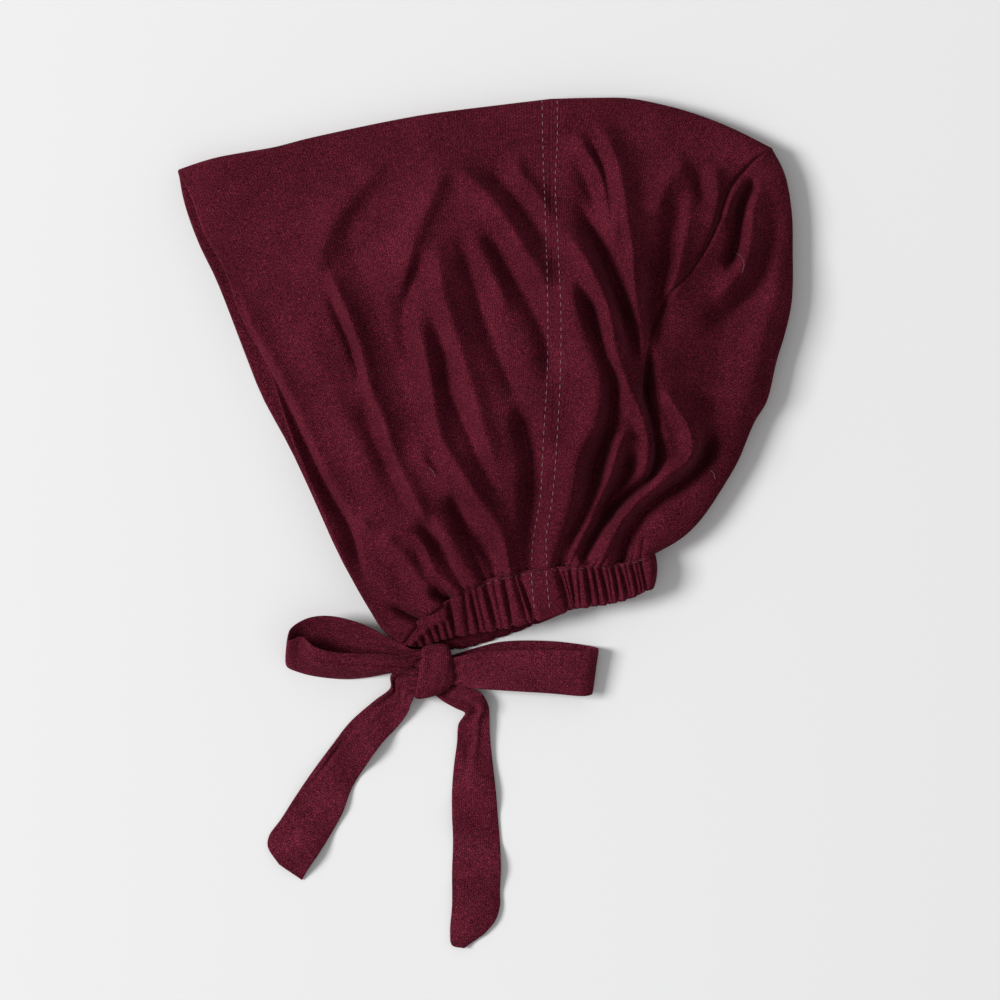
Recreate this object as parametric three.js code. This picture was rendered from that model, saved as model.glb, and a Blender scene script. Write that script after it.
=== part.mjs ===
// Hijab underscarf cap in jersey, lying on its side with its nape ties in a bow.
// Millimetres, +Z up. The table is z = 0, the crown fold lies towards +Y, the face opening towards -X.
import * as THREE from 'three';
import { RoundedBoxGeometry } from 'three/addons/geometries/RoundedBoxGeometry.js';

// Driving dimensions of the cap
const capLength = 279;        // face point to the back of the crown
const capHeight = 249;        // front end of the nape casing to the crown fold
const capLoft = 37;           // top of the puffed near side over the table
const clothWall = 1.2;        // one layer of jersey
const faceHemWall = 2.2;      // cloth turned in along the face edge
const faceHemWidth = 16;
const pieceGap = 0.3;         // clearance between neighbouring pieces
const foldLift = 5;           // how far the cloth turns up at the folded outline
const foldTurn = 10;          // width over which it turns up
const tableTurn = 7;          // width over which it turns down to the table
const crownReach = 95;        // distance from the fold at which the puff is full
const faceReach = 105;        // the same from the face edge
const casingReach = 48;       // the same from the casing

// Driving dimensions of the nape casing
const casingThick = 4.2;      // gathered cloth round the elastic
const casingEdge = 1.6;       // thickness along its two edges
const casingTurn = 5.5;       // radius of its turn at the back, at mid thickness
const casingDip = 5.2;        // how far the near run sinks towards the knot
const casingFullness = 0.6;   // lower makes its section squarer
const ribPitch = 3.8;
const ribDepth = 1.3;
const ribEnds = 0.15;         // share of a rib's arch left out at each edge

// Driving dimensions of the ties
const tieWidth = 22;
const tieWall = 1.7;          // flat sewn tube of jersey
const knotAlong = 0.418;      // the knot's place along the cap, as a share of its length
const knotWidth = 16;
const knotLength = 21.5;
const knotThick = 12.5;
const knotRound = 3.4;
const knotDraw = 2.4;         // how far its upper side is drawn in beside the wrap
const knotWrap = 0.55;        // share of its half width that the wrap takes
const knotSlant = 0.35;       // how far the wrap leans, as a share
const leftLoopReach = 58;
const rightLoopReach = 66;
const leftTailSeat = 0.3;     // how far below the knot's middle the left tail leaves it, as a share
const leftTailDrop = 80;
const rightTailDrop = 110;

// Mesh density
const nearRows = 28;          // rows of the near layer, casing to crown fold
const farKept = [0, 1, 2, 4, 8, 12, 16, 22, 28];  // those of them that the flat far layer keeps
const frontColumns = 25;
const crownColumns = 15;
const backNearRows = 12;
const backFarRows = 5;
const backTipRows = 2;        // crown rows that run past the tip of the back panel
const knotSteps = 3;

const colours = { jersey: 0x4a1623, tie: 0x541a29 };

// Outlines in plan, as shares of the cap's length (along, from the face) and height (up, from the casing).
// The folded outline: crown fold from the face point, then down the back to the casing.
const foldLine = [
  { along: 0.000, up: 0.869, meets: 'face' },
  { along: 0.111, up: 0.901 },
  { along: 0.208, up: 0.925 },
  { along: 0.353, up: 0.960 },
  { along: 0.480, up: 0.982 },
  { along: 0.606, up: 0.998, meets: 'crown seam' },
  { along: 0.735, up: 1.000 },
  { along: 0.842, up: 0.971 },
  { along: 0.901, up: 0.945 },
  { along: 0.966, up: 0.909, meets: 'back seam' },
  { along: 0.987, up: 0.861 },
  { along: 0.998, up: 0.792 },
  { along: 1.000, up: 0.700 },
  { along: 0.995, up: 0.610 },
  { along: 0.974, up: 0.522 },
  { along: 0.950, up: 0.425 },
  { along: 0.905, up: 0.325 },
  { along: 0.850, up: 0.232 },
  { along: 0.811, up: 0.188 },
  { along: 0.772, up: 0.168, meets: 'casing' },
];
// The stitched line where the cloth is gathered onto the casing.
const casingLine = [
  { along: 0.365, up: 0.006, meets: 'face' },
  { along: 0.396, up: 0.047 },
  { along: 0.441, up: 0.082 },
  { along: 0.508, up: 0.120 },
  { along: 0.585, up: 0.139, meets: 'crown seam' },
  { along: 0.640, up: 0.144 },
  { along: 0.697, up: 0.146, meets: 'back seam' },
  { along: 0.735, up: 0.152 },
  { along: 0.772, up: 0.166, meets: 'fold' },
];
// The free edge of the casing's near run, row for row with the line above.
const casingNearEdge = [
  { along: 0.396, up: 0.000 },
  { along: 0.418, up: 0.007 },
  { along: 0.455, up: 0.018 },
  { along: 0.524, up: 0.031 },
  { along: 0.595, up: 0.049 },
  { along: 0.645, up: 0.067 },
  { along: 0.700, up: 0.077 },
  { along: 0.738, up: 0.087 },
  { along: 0.772, up: 0.106 },
];
// The far run's free edge, which shows below the near run at the front.
const casingFarEdge = [
  { along: 0.390, up: -0.005 },
  { along: 0.420, up: -0.005 },
  { along: 0.462, up: -0.003 },
  { along: 0.530, up: 0.018 },
  { along: 0.595, up: 0.045 },
  { along: 0.645, up: 0.064 },
  { along: 0.700, up: 0.076 },
  { along: 0.738, up: 0.087 },
  { along: 0.772, up: 0.106 },
];
const faceEdgeNear = [
  { along: 0.000, up: 0.869 },
  { along: 0.023, up: 0.819 },
  { along: 0.041, up: 0.763 },
  { along: 0.080, up: 0.679 },
  { along: 0.147, up: 0.509 },
  { along: 0.179, up: 0.403 },
  { along: 0.231, up: 0.257 },
  { along: 0.270, up: 0.155 },
  { along: 0.314, up: 0.066 },
  { along: 0.365, up: 0.006 },
];
const faceEdgeFar = [
  { along: 0.000, up: 0.869 },
  { along: 0.012, up: 0.807 },
  { along: 0.035, up: 0.734 },
  { along: 0.062, up: 0.672 },
  { along: 0.111, up: 0.520 },
  { along: 0.150, up: 0.420 },
  { along: 0.222, up: 0.270 },
  { along: 0.266, up: 0.160 },
  { along: 0.312, up: 0.068 },
  { along: 0.365, up: 0.006 },
];
const crownSeam = [
  { along: 0.606, up: 0.998 },
  { along: 0.606, up: 0.889 },
  { along: 0.608, up: 0.743 },
  { along: 0.611, up: 0.560 },
  { along: 0.609, up: 0.420 },
  { along: 0.599, up: 0.274 },
  { along: 0.588, up: 0.195 },
  { along: 0.585, up: 0.139 },
];
const backSeam = [
  { along: 0.966, up: 0.909 },
  { along: 0.930, up: 0.880 },
  { along: 0.892, up: 0.828 },
  { along: 0.866, up: 0.748 },
  { along: 0.834, up: 0.688 },
  { along: 0.801, up: 0.646 },
  { along: 0.774, up: 0.591 },
  { along: 0.759, up: 0.524 },
  { along: 0.750, up: 0.414 },
  { along: 0.730, up: 0.286 },
  { along: 0.697, up: 0.146 },
];

// Folds of the near side. The path's points are [along, up] shares, the width is a share of the cap's
// length, the height a share of its loft, and a fold that runs into the casing keeps its height there.
const folds = [
  { width: 0.028, height: 0.16, gathered: true,
    path: [[0.31, 0.87], [0.22, 0.70], [0.29, 0.55], [0.36, 0.32], [0.47, 0.13]] },
  { width: 0.034, height: 0.10, gathered: false,
    path: [[0.44, 0.88], [0.40, 0.76], [0.32, 0.62]] },
  { width: 0.036, height: 0.08, gathered: false,
    path: [[0.46, 0.85], [0.51, 0.76], [0.59, 0.62]] },
  { width: 0.022, height: 0.13, gathered: true,
    path: [[0.41, 0.70], [0.46, 0.52], [0.50, 0.36], [0.54, 0.17]] },
  { width: 0.020, height: 0.14, gathered: true,
    path: [[0.38, 0.61], [0.41, 0.42], [0.45, 0.30], [0.51, 0.14]] },
  { width: 0.022, height: 0.15, gathered: false,
    path: [[0.64, 0.78], [0.69, 0.62], [0.73, 0.49], [0.75, 0.37], [0.73, 0.30]] },
  { width: 0.026, height: 0.12, gathered: false,
    path: [[0.67, 0.94], [0.72, 0.77], [0.75, 0.55]] },
  { width: 0.024, height: 0.17, gathered: true,
    path: [[0.65, 0.64], [0.685, 0.45], [0.64, 0.30], [0.61, 0.17]] },
  { width: 0.016, height: 0.13, gathered: true,
    path: [[0.73, 0.39], [0.68, 0.27], [0.65, 0.18]] },
  { width: 0.030, height: 0.16, gathered: true,
    path: [[0.86, 0.45], [0.84, 0.38], [0.77, 0.28], [0.69, 0.17]] },
  { width: 0.034, height: 0.12, gathered: false,
    path: [[0.95, 0.74], [0.94, 0.58], [0.89, 0.43], [0.84, 0.31]] },
  { width: 0.022, height: 0.13, gathered: false,
    path: [[0.13, 0.55], [0.20, 0.41], [0.27, 0.28], [0.36, 0.21]] },
  { width: 0.018, height: 0.09, gathered: true,
    path: [[0.32, 0.19], [0.37, 0.13], [0.42, 0.09]] },
  { width: 0.022, height: -0.11, gathered: false,
    path: [[0.62, 0.83], [0.67, 0.70], [0.72, 0.54]] },
  { width: 0.024, height: -0.17, gathered: false,
    path: [[0.82, 0.82], [0.77, 0.68], [0.75, 0.59], [0.755, 0.48]] },
  { width: 0.016, height: -0.16, gathered: true,
    path: [[0.68, 0.46], [0.69, 0.38], [0.65, 0.25], [0.62, 0.15]] },
  { width: 0.024, height: -0.18, gathered: true,
    path: [[0.76, 0.44], [0.765, 0.35], [0.72, 0.25], [0.665, 0.15]] },
  { width: 0.028, height: -0.08, gathered: true,
    path: [[0.85, 0.33], [0.80, 0.26], [0.72, 0.16]] },
  { width: 0.028, height: -0.15, gathered: true,
    path: [[0.51, 0.75], [0.59, 0.56], [0.56, 0.40], [0.555, 0.13]] },
  { width: 0.018, height: -0.10, gathered: false,
    path: [[0.28, 0.78], [0.24, 0.69], [0.31, 0.53], [0.35, 0.36]] },
  { width: 0.018, height: -0.10, gathered: false,
    path: [[0.38, 0.70], [0.36, 0.56], [0.375, 0.42]] },
  { width: 0.018, height: -0.07, gathered: false,
    path: [[0.12, 0.69], [0.20, 0.49], [0.29, 0.29]] },
];
const foldSamples = 18;       // points along each fold and outline at which it is measured

// Ribbon sections. Reach, side and rise are shares of the piece's own length, from where it leaves the
// knot: outwards, towards the crown and off the table. Lean is the angle of the cloth's width to the
// table and swing its angle in plan, both in degrees, and full is the share of the tie's width.
const leftLoopRows = [
  { reach: 0.005, side: 0.020, rise: 0.110, lean: 62, swing: 90, full: 0.42 },
  { reach: 0.120, side: 0.035, rise: 0.135, lean: 60, swing: 90, full: 0.60 },
  { reach: 0.350, side: 0.045, rise: 0.160, lean: 60, swing: 88, full: 0.80 },
  { reach: 0.700, side: 0.055, rise: 0.168, lean: 62, swing: 86, full: 0.88 },
  { reach: 0.930, side: 0.110, rise: 0.168, lean: 66, swing: 86, full: 0.88 },
  { reach: 0.985, side: 0.230, rise: 0.168, lean: 66, swing: 88, full: 0.86 },
  { reach: 0.880, side: 0.350, rise: 0.164, lean: 64, swing: 92, full: 0.84 },
  { reach: 0.640, side: 0.390, rise: 0.158, lean: 62, swing: 96, full: 0.80 },
  { reach: 0.340, side: 0.300, rise: 0.140, lean: 60, swing: 96, full: 0.66 },
  { reach: 0.120, side: 0.200, rise: 0.120, lean: 62, swing: 94, full: 0.50 },
  { reach: 0.005, side: 0.165, rise: 0.110, lean: 66, swing: 90, full: 0.38 },
];
const rightLoopRows = [
  { reach: 0.005, side: 0.020, rise: 0.058, lean: 0, swing: 90, full: 0.52 },
  { reach: 0.080, side: 0.020, rise: 0.040, lean: 0, swing: 91, full: 0.68 },
  { reach: 0.300, side: 0.030, rise: 0.016, lean: 0, swing: 92, full: 0.90 },
  { reach: 0.650, side: 0.030, rise: 0.014, lean: 0, swing: 86, full: 0.94 },
  { reach: 0.920, side: 0.025, rise: 0.014, lean: 0, swing: 80, full: 0.98 },
  { reach: 0.985, side: 0.022, rise: 0.056, lean: 0, swing: 76, full: 0.98 },
  { reach: 0.920, side: 0.016, rise: 0.098, lean: 0, swing: 78, full: 0.96 },
  { reach: 0.650, side: -0.010, rise: 0.102, lean: 0, swing: 86, full: 0.90 },
  { reach: 0.300, side: -0.012, rise: 0.110, lean: 0, swing: 90, full: 0.86 },
  { reach: 0.080, side: 0.000, rise: 0.124, lean: 0, swing: 90, full: 0.70 },
  { reach: 0.005, side: 0.000, rise: 0.124, lean: 0, swing: 90, full: 0.56 },
];
// The left tail leaves the knot's side towards the face: its reach runs that way and its side down.
const leftTailRows = [
  { reach: 0.004, side: 0.000, rise: 0.060, lean: 0, swing: 270, full: 0.28 },
  { reach: 0.070, side: 0.034, rise: 0.042, lean: 0, swing: 300, full: 0.56 },
  { reach: 0.178, side: 0.143, rise: 0.022, lean: 6, swing: 314, full: 0.80 },
  { reach: 0.309, side: 0.273, rise: 0.012, lean: 2, swing: 316, full: 0.88 },
  { reach: 0.428, side: 0.420, rise: 0.011, lean: 0, swing: 321, full: 0.88 },
  { reach: 0.519, side: 0.551, rise: 0.011, lean: 0, swing: 325, full: 0.90 },
  { reach: 0.615, side: 0.705, rise: 0.011, lean: 0, swing: 328, full: 0.94 },
  { reach: 0.712, side: 0.875, rise: 0.011, lean: 0, swing: 326, full: 0.98 },
  { reach: 0.755, side: 0.985, rise: 0.011, lean: 0, swing: 312, full: 1.04 },
];
// The right tail leaves its foot: its reach runs down and its side towards the face.
const rightTailRows = [
  { reach: 0.003, side: 0.000, rise: 0.050, lean: 0, swing: 0, full: 0.30 },
  { reach: 0.035, side: -0.050, rise: 0.046, lean: 8, swing: 36, full: 0.44 },
  { reach: 0.095, side: -0.100, rise: 0.030, lean: 10, swing: 32, full: 0.56 },
  { reach: 0.185, side: -0.118, rise: 0.014, lean: 4, swing: 10, full: 0.68 },
  { reach: 0.310, side: -0.127, rise: 0.008, lean: 0, swing: 3, full: 0.80 },
  { reach: 0.430, side: -0.132, rise: 0.008, lean: 0, swing: 1, full: 0.88 },
  { reach: 0.600, side: -0.138, rise: 0.008, lean: 0, swing: 1, full: 0.96 },
  { reach: 0.770, side: -0.139, rise: 0.008, lean: 0, swing: 0, full: 1.00 },
  { reach: 0.900, side: -0.133, rise: 0.008, lean: 0, swing: -2, full: 1.02 },
  { reach: 0.985, side: -0.123, rise: 0.008, lean: 0, swing: 17, full: 0.98 },
];

// Small helpers for numbers and curves
const clamp = THREE.MathUtils.clamp;
const lerp = THREE.MathUtils.lerp;
const smooth = share => THREE.MathUtils.smoothstep(share, 0, 1);

const spot = ({ along, up }) => new THREE.Vector3(along * capLength, up * capHeight, 0);

function curveThrough(rows) {
  const curve = new THREE.CatmullRomCurve3(rows.map(spot), false, 'centripetal');
  curve.arcLengthDivisions = (rows.length - 1) * foldSamples;
  return curve;
}

// The arc share at which a curve passes the row that meets a named line.
function shareAt(curve, rows, meets) {
  const row = rows.findIndex(entry => entry.meets === meets);
  const lengths = curve.getLengths();
  return lengths[row * foldSamples] / lengths[lengths.length - 1];
}

// Part of a curve, as a function of a share from one named row to another.
function stretch(curve, rows, from, to) {
  const start = shareAt(curve, rows, from);
  const end = shareAt(curve, rows, to);
  return share => curve.getPointAt(clamp(lerp(start, end, share), 0, 1));
}

const along = curve => share => curve.getPointAt(clamp(share, 0, 1));

const foldCurve = curveThrough(foldLine);
const casingCurve = curveThrough(casingLine);
const casingNearCurve = curveThrough(casingNearEdge);
const casingFarCurve = curveThrough(casingFarEdge);
const crownSeamCurve = curveThrough(crownSeam);
const backSeamCurve = curveThrough(backSeam);
const faceNearCurve = curveThrough(faceEdgeNear);
const faceFarCurve = curveThrough(faceEdgeFar);

// Nearest place on a sampled line: its distance, its share of the line and the point itself.
function nearestOn(points, x, y) {
  let best = { distance: Infinity, share: 0, point: points[0] };
  for (let i = 0; i + 1 < points.length; i += 1) {
    const a = points[i];
    const b = points[i + 1];
    const run = (b.x - a.x) ** 2 + (b.y - a.y) ** 2;
    const t = clamp(((x - a.x) * (b.x - a.x) + (y - a.y) * (b.y - a.y)) / run, 0, 1);
    const px = lerp(a.x, b.x, t);
    const py = lerp(a.y, b.y, t);
    const distance = Math.hypot(x - px, y - py);
    if (distance < best.distance) {
      best = { distance, share: (i + t) / (points.length - 1), point: { x: px, y: py } };
    }
  }
  return best;
}

const outlineSamples = 140;
const foldPoints = foldCurve.getSpacedPoints(outlineSamples);
const casingPoints = casingCurve.getSpacedPoints(outlineSamples);
const facePoints = faceNearCurve.getSpacedPoints(outlineSamples);
const strokes = folds.map(({ path, width, height, gathered }) => ({
  points: new THREE.CatmullRomCurve3(path.map(([a, u]) => spot({ along: a, up: u })))
    .getPoints(foldSamples),
  width: width * capLength,
  height: height * capLoft,
  gathered,
}));

// Heights of the near side
const foldRise = casingThick / 2 + casingTurn;  // the folded outline's height over the table
const shelfRise = foldRise + foldLift;
const foldFade = 30;          // folds die out this close to the outline
const foldEnds = 0.3;         // share of a fold over which it rises or dies out
const foldHeld = 0.18;        // share of its height that a fold keeps where it runs into the casing
const edgeHeld = 0.25;        // the same at the face edge
const edgeFade = 20;          // width along the face edge over which folds get their full height
const mouthShare = 0.12;      // share of the puff that reaches the face edge
const dipStart = 0.45;        // share of the casing, from the front, over which its near run sinks

const turnUp = share => Math.sqrt(Math.max(0, 1 - (1 - Math.min(share, 1)) ** 2));
const bulge = share => 1 - (1 - Math.min(share, 1)) ** 2;
const casingSink = share => casingDip * smooth(1 - share / dipStart);

function foldHeight(x, y) {
  let sum = 0;
  for (const stroke of strokes) {
    const near = nearestOn(stroke.points, x, y);
    const body = Math.exp(-((near.distance / stroke.width) ** 2));
    const opening = smooth(near.share / foldEnds);
    const closing = stroke.gathered ? 1 : smooth((1 - near.share) / foldEnds);
    sum += stroke.height * body * opening * closing;
  }
  return sum;
}

// Puff and folds, without the turned-up outline. Inside is the distance from the fold.
function puff(x, y, inside) {
  const casing = nearestOn(casingPoints, x, y);
  const face = nearestOn(facePoints, x, y).distance;
  const faceShare = lerp(mouthShare, 1, smooth(face / faceReach));
  const full = (capLoft - shelfRise) * smooth(inside / crownReach) * faceShare;
  const gathers = foldHeight(x, y) * smooth(inside / foldFade) * smooth(edgeHeld + face / edgeFade);
  const nearCasing = bulge(casing.distance / casingReach);
  const sunk = casingSink(casing.share) * (1 - smooth(casing.distance / casingReach));
  return full * nearCasing + gathers * lerp(foldHeld, 1, nearCasing) - sunk;
}

// Within this distance of the sampled outline, the outline's own direction says which way is inwards.
const rimSlack = 0.3;

// A point of the near or far layer's outer face and the direction in which it faces.
function clothAt(x, y, isNear) {
  const fold = nearestOn(foldPoints, x, y);
  const away = new THREE.Vector2(x - fold.point.x, y - fold.point.y);
  if (fold.distance < rimSlack) {
    const ahead = foldCurve.getTangentAt(clamp(fold.share, 0, 1));
    away.set(ahead.y, -ahead.x);
  }
  away.normalize();
  const width = isNear ? foldTurn : tableTurn;
  const lift = isNear ? foldLift : -foldRise;
  const share = fold.distance / width;
  const turned = turnUp(share);
  const steep = share >= 1 ? 0 : lift / width * (1 - share) / Math.max(turned, 1e-4);
  const z = foldRise + lift * turned + (isNear ? puff(x, y, fold.distance) : 0);
  const facing = new THREE.Vector3(-steep * away.x, -steep * away.y, 1);
  if (isNear) {
    const step = clothWall;
    const shift = (dx, dy) => puff(x + dx, y + dy, nearestOn(foldPoints, x + dx, y + dy).distance);
    facing.x -= (shift(step, 0) - shift(-step, 0)) / (2 * step);
    facing.y -= (shift(0, step) - shift(0, -step)) / (2 * step);
  } else {
    facing.set(steep * away.x, steep * away.y, -1);
  }
  return { point: new THREE.Vector3(x, y, z), facing: facing.normalize() };
}

// A patch of cloth between four edges: two rims (u runs along them) and two sides (v runs along them).
function patch(rimStart, rimEnd, sideStart, sideEnd) {
  return (u, v) => {
    const point = rimStart(u).multiplyScalar(1 - v).add(rimEnd(u).multiplyScalar(v));
    point.add(sideStart(v).multiplyScalar(1 - u)).add(sideEnd(v).multiplyScalar(u));
    point.addScaledVector(rimStart(0), -(1 - u) * (1 - v)).addScaledVector(rimStart(1), -u * (1 - v));
    point.addScaledVector(rimEnd(0), -(1 - u) * v).addScaledVector(rimEnd(1), -u * v);
    return point;
  };
}

// A block of the given steps whose every point is moved by place(u, v, w), each from 0 to 1.
function bentBlock(stepsU, stepsV, place) {
  const geometry = new THREE.BoxGeometry(1, 1, 1, stepsU, stepsV, 1);
  const spots = geometry.attributes.position;
  for (let i = 0; i < spots.count; i += 1) {
    const moved = place(spots.getX(i) + 0.5, spots.getY(i) + 0.5, spots.getZ(i) + 0.5);
    spots.setXYZ(i, moved.x, moved.y, moved.z);
  }
  geometry.computeVertexNormals();
  return geometry;
}

// Rows lie closer together towards the folded outline.
const rowCrowding = 1.5;
const farRows = farKept.length - 1;
const nearSpacing = row => (row / nearRows) ** rowCrowding;
const farShares = farKept.map(nearSpacing);

// A seam of the far layer, straight between the rows that the layer keeps.
const farSeam = curve => share => {
  const row = clamp(farShares.findIndex(kept => kept >= share), 1, farRows);
  const start = farShares[row - 1];
  const part = (share - start) / (farShares[row] - start);
  return curve.getPointAt(start).lerp(curve.getPointAt(farShares[row]), clamp(part, 0, 1));
};

// A share moved in from a seam by half the gap, or left alone at a free edge.
function inset(share, width, startGap, endGap) {
  return (startGap + share * (width - startGap - endGap)) / width;
}

// One panel that folds over the crown. v runs from the near casing over the crown to the far casing.
function crownFoldPanel({ fold, casing, near, far, columns, gaps, wall }) {
  const rows = nearRows + farRows;
  const layers = {
    near: patch(fold, casing, near[0], near[1]),
    far: patch(fold, casing, far[0], far[1]),
  };
  return bentBlock(columns, rows, (u, v, w) => {
    const row = Math.round(v * rows);
    const isNear = row <= nearRows;
    const share = isNear ? nearSpacing(nearRows - row) : farShares[row - nearRows];
    const sides = isNear ? near : far;
    const width = sides[0](share).distanceTo(sides[1](share));
    const drop = fold(u).distanceTo(casing(u));
    const layer = isNear ? layers.near : layers.far;
    const place = layer(inset(u, width, ...gaps), Math.min(share, 1 - pieceGap / drop));
    const { point, facing } = clothAt(place.x, place.y, isNear);
    return point.addScaledVector(facing, (w - 1) * wall(u * width));
  });
}

const crownSeamSides = { near: along(crownSeamCurve), far: farSeam(crownSeamCurve) };
const backSeamSides = { near: along(backSeamCurve), far: farSeam(backSeamCurve) };

function frontPanel() {
  return crownFoldPanel({
    fold: stretch(foldCurve, foldLine, 'face', 'crown seam'),
    casing: stretch(casingCurve, casingLine, 'face', 'crown seam'),
    near: [along(faceNearCurve), crownSeamSides.near],
    far: [along(faceFarCurve), crownSeamSides.far],
    columns: frontColumns,
    gaps: [0, pieceGap / 2],
    wall: inside => lerp(faceHemWall, clothWall, smooth(inside / faceHemWidth)),
  });
}

function crownPanel() {
  return crownFoldPanel({
    fold: stretch(foldCurve, foldLine, 'crown seam', 'back seam'),
    casing: stretch(casingCurve, casingLine, 'crown seam', 'back seam'),
    near: [crownSeamSides.near, backSeamSides.near],
    far: [crownSeamSides.far, backSeamSides.far],
    columns: crownColumns,
    gaps: [pieceGap / 2, pieceGap / 2],
    wall: () => clothWall,
  });
}

// The back panel folds round the back. u runs down it, v from the near seam over the fold to the far one.
function backPanel() {
  const columns = nearRows - backTipRows;
  const rows = backNearRows + backFarRows;
  const tip = nearSpacing(backTipRows);
  const outline = stretch(foldCurve, foldLine, 'back seam', 'casing');
  const tipOut = 0.02;        // share of the outline left above the panel's tip
  const nearCrowding = 1.3;   // how far its rows crowd towards the fold on each layer
  const farCrowding = 2;
  const casingEnd = stretch(casingCurve, casingLine, 'fold', 'back seam');
  const layer = seam => {
    const seamRun = u => seam(lerp(tip, 1, u));
    const outRun = u => outline(lerp(tipOut, 1, u));
    return {
      place: patch(outRun, seamRun, v => outRun(0).lerp(seamRun(0), v), casingEnd),
      outRun,
      seamRun,
    };
  };
  const layers = { near: layer(backSeamSides.near), far: layer(backSeamSides.far) };
  return bentBlock(columns, rows, (u, v, w) => {
    const row = Math.round(v * rows);
    const isNear = row <= backNearRows;
    const across = isNear
      ? (1 - row / backNearRows) ** nearCrowding
      : ((row - backNearRows) / backFarRows) ** farCrowding;
    const share = (nearSpacing(backTipRows + Math.round(u * columns)) - tip) / (1 - tip);
    const { place, outRun, seamRun } = isNear ? layers.near : layers.far;
    const width = outRun(share).distanceTo(seamRun(share));
    const length = backSeamCurve.getLength();
    const spotted = place(Math.min(share, 1 - pieceGap / length), inset(across, width, 0, pieceGap / 2));
    const { point, facing } = clothAt(spotted.x, spotted.y, isNear);
    return point.addScaledVector(facing, (w - 1) * clothWall);
  });
}

// The gathered casing: near run, turn round the back, far run flat on the table.
function napeCasing() {
  const runLength = casingCurve.getLength();
  const quarter = Math.PI * casingTurn / 2;
  const half = runLength - casingTurn + quarter;
  const ribs = Math.round(half / ribPitch);
  const steps = ribs * 2;
  const acrossSteps = 3;
  return bentBlock(steps, acrossSteps, (u, v, w) => {
    const step = Math.round(u * steps);
    const isNear = u < 0.5;
    const travel = Math.abs(2 * u - 1) * half;
    const angle = Math.min(travel / casingTurn, Math.PI / 2);
    const back = travel < quarter ? casingTurn * (1 - Math.cos(angle)) : casingTurn + travel - quarter;
    const share = clamp(1 - back / runLength, 0, 1);
    const free = isNear ? casingNearCurve : casingFarCurve;
    const top = casingCurve.getPointAt(share);
    const low = free.getPointAt(share);
    const valley = step % 2 === 1 ? 1 : 0;
    const scallop = ribDepth / 2 * valley / top.distanceTo(low);
    const point = low.clone().lerp(top, Math.max(v, scallop));
    const outward = casingCurve.getTangentAt(share);
    const round = Math.sin(Math.PI * v) ** casingFullness;
    const thick = lerp(casingEdge, casingThick, round) / 2;
    const rib = isNear || angle < Math.PI / 2 ? ribDepth * valley : 0;
    const ribDrawn = rib * Math.sin(Math.PI * lerp(ribEnds, 1 - ribEnds, v));
    const side = w > 0.5 ? thick - ribDrawn : -thick;
    const direction = isNear ? 1 : -1;
    const settle = isNear ? 0 : (casingThick / 2 - thick) * Math.sin(angle);
    point.z = foldRise + direction * casingTurn * Math.sin(angle) - settle;
    if (isNear) point.z -= casingSink(share) * Math.sin(angle);
    point.addScaledVector(outward, side * Math.cos(angle));
    point.z += direction * side * Math.sin(angle);
    return point;
  });
}

// The knot sits below the far run's front edge.
const knotCentre = new THREE.Vector3(
  knotAlong * capLength,
  casingFarEdge[0].up * capHeight - pieceGap - knotLength / 2,
  knotThick / 2,
);

// Its upper side is drawn in to a slanting wrap, and its underside is flat.
function knot() {
  const geometry = new RoundedBoxGeometry(knotWidth, knotLength, knotThick, knotSteps, knotRound);
  const spots = geometry.attributes.position;
  for (let i = 0; i < spots.count; i += 1) {
    const x = 2 * spots.getX(i) / knotWidth;
    const y = 2 * spots.getY(i) / knotLength;
    const top = smooth(2 * spots.getZ(i) / knotThick);
    const wrap = Math.exp(-(((x - knotSlant * y) / knotWrap) ** 2)) * (1 - y ** 2);
    spots.setZ(i, spots.getZ(i) - top * knotDraw * (1 - wrap));
  }
  geometry.translate(knotCentre.x, knotCentre.y, knotCentre.z);
  return geometry;
}

// A tie's ribbon through its rows, from an anchor on the knot, outwards and towards the crown.
function ribbon(rows, reach, anchor, outward, sideways, steps) {
  const pathPoints = rows.map(row => anchor.clone()
    .addScaledVector(outward, row.reach * reach)
    .addScaledVector(sideways, row.side * reach)
    .setZ(row.rise * reach));
  const path = new THREE.CatmullRomCurve3(pathPoints, false, 'centripetal');
  const blend = (t, column) => {
    const place = clamp(t, 0, 1) * (rows.length - 1);
    const row = Math.min(Math.floor(place), rows.length - 2);
    return lerp(rows[row][column], rows[row + 1][column], smooth(place - row));
  };
  return bentBlock(steps, 2, (u, v, w) => {
    const point = path.getPoint(u);
    const lean = THREE.MathUtils.degToRad(blend(u, 'lean'));
    const swing = THREE.MathUtils.degToRad(blend(u, 'swing'));
    const across = new THREE.Vector3(
      Math.cos(swing) * Math.cos(lean), Math.sin(swing) * Math.cos(lean), Math.sin(lean));
    const facing = path.getTangent(u).cross(across).normalize();
    const width = blend(u, 'full') * tieWidth;
    point.z = Math.max(point.z, tieWall / 2 + width / 2 * Math.sin(lean));
    point.addScaledVector(across, (v - 0.5) * width);
    return point.addScaledVector(facing, (w - 0.5) * tieWall);
  });
}

const right = new THREE.Vector3(1, 0, 0);
const up = new THREE.Vector3(0, 1, 0);
const left = right.clone().negate();
const down = up.clone().negate();
const knotSide = knotWidth / 2 + pieceGap;
const knotFoot = knotLength / 2 + pieceGap;
const loopSteps = 40;
const tailSteps = 24;

const leftAnchor = knotCentre.clone().addScaledVector(left, knotSide);
const rightAnchor = knotCentre.clone().addScaledVector(right, knotSide);
const leftFoot = leftAnchor.clone().addScaledVector(down, leftTailSeat * knotLength);
const rightFoot = knotCentre.clone().addScaledVector(down, knotFoot).addScaledVector(right, knotWidth / 4);

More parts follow.
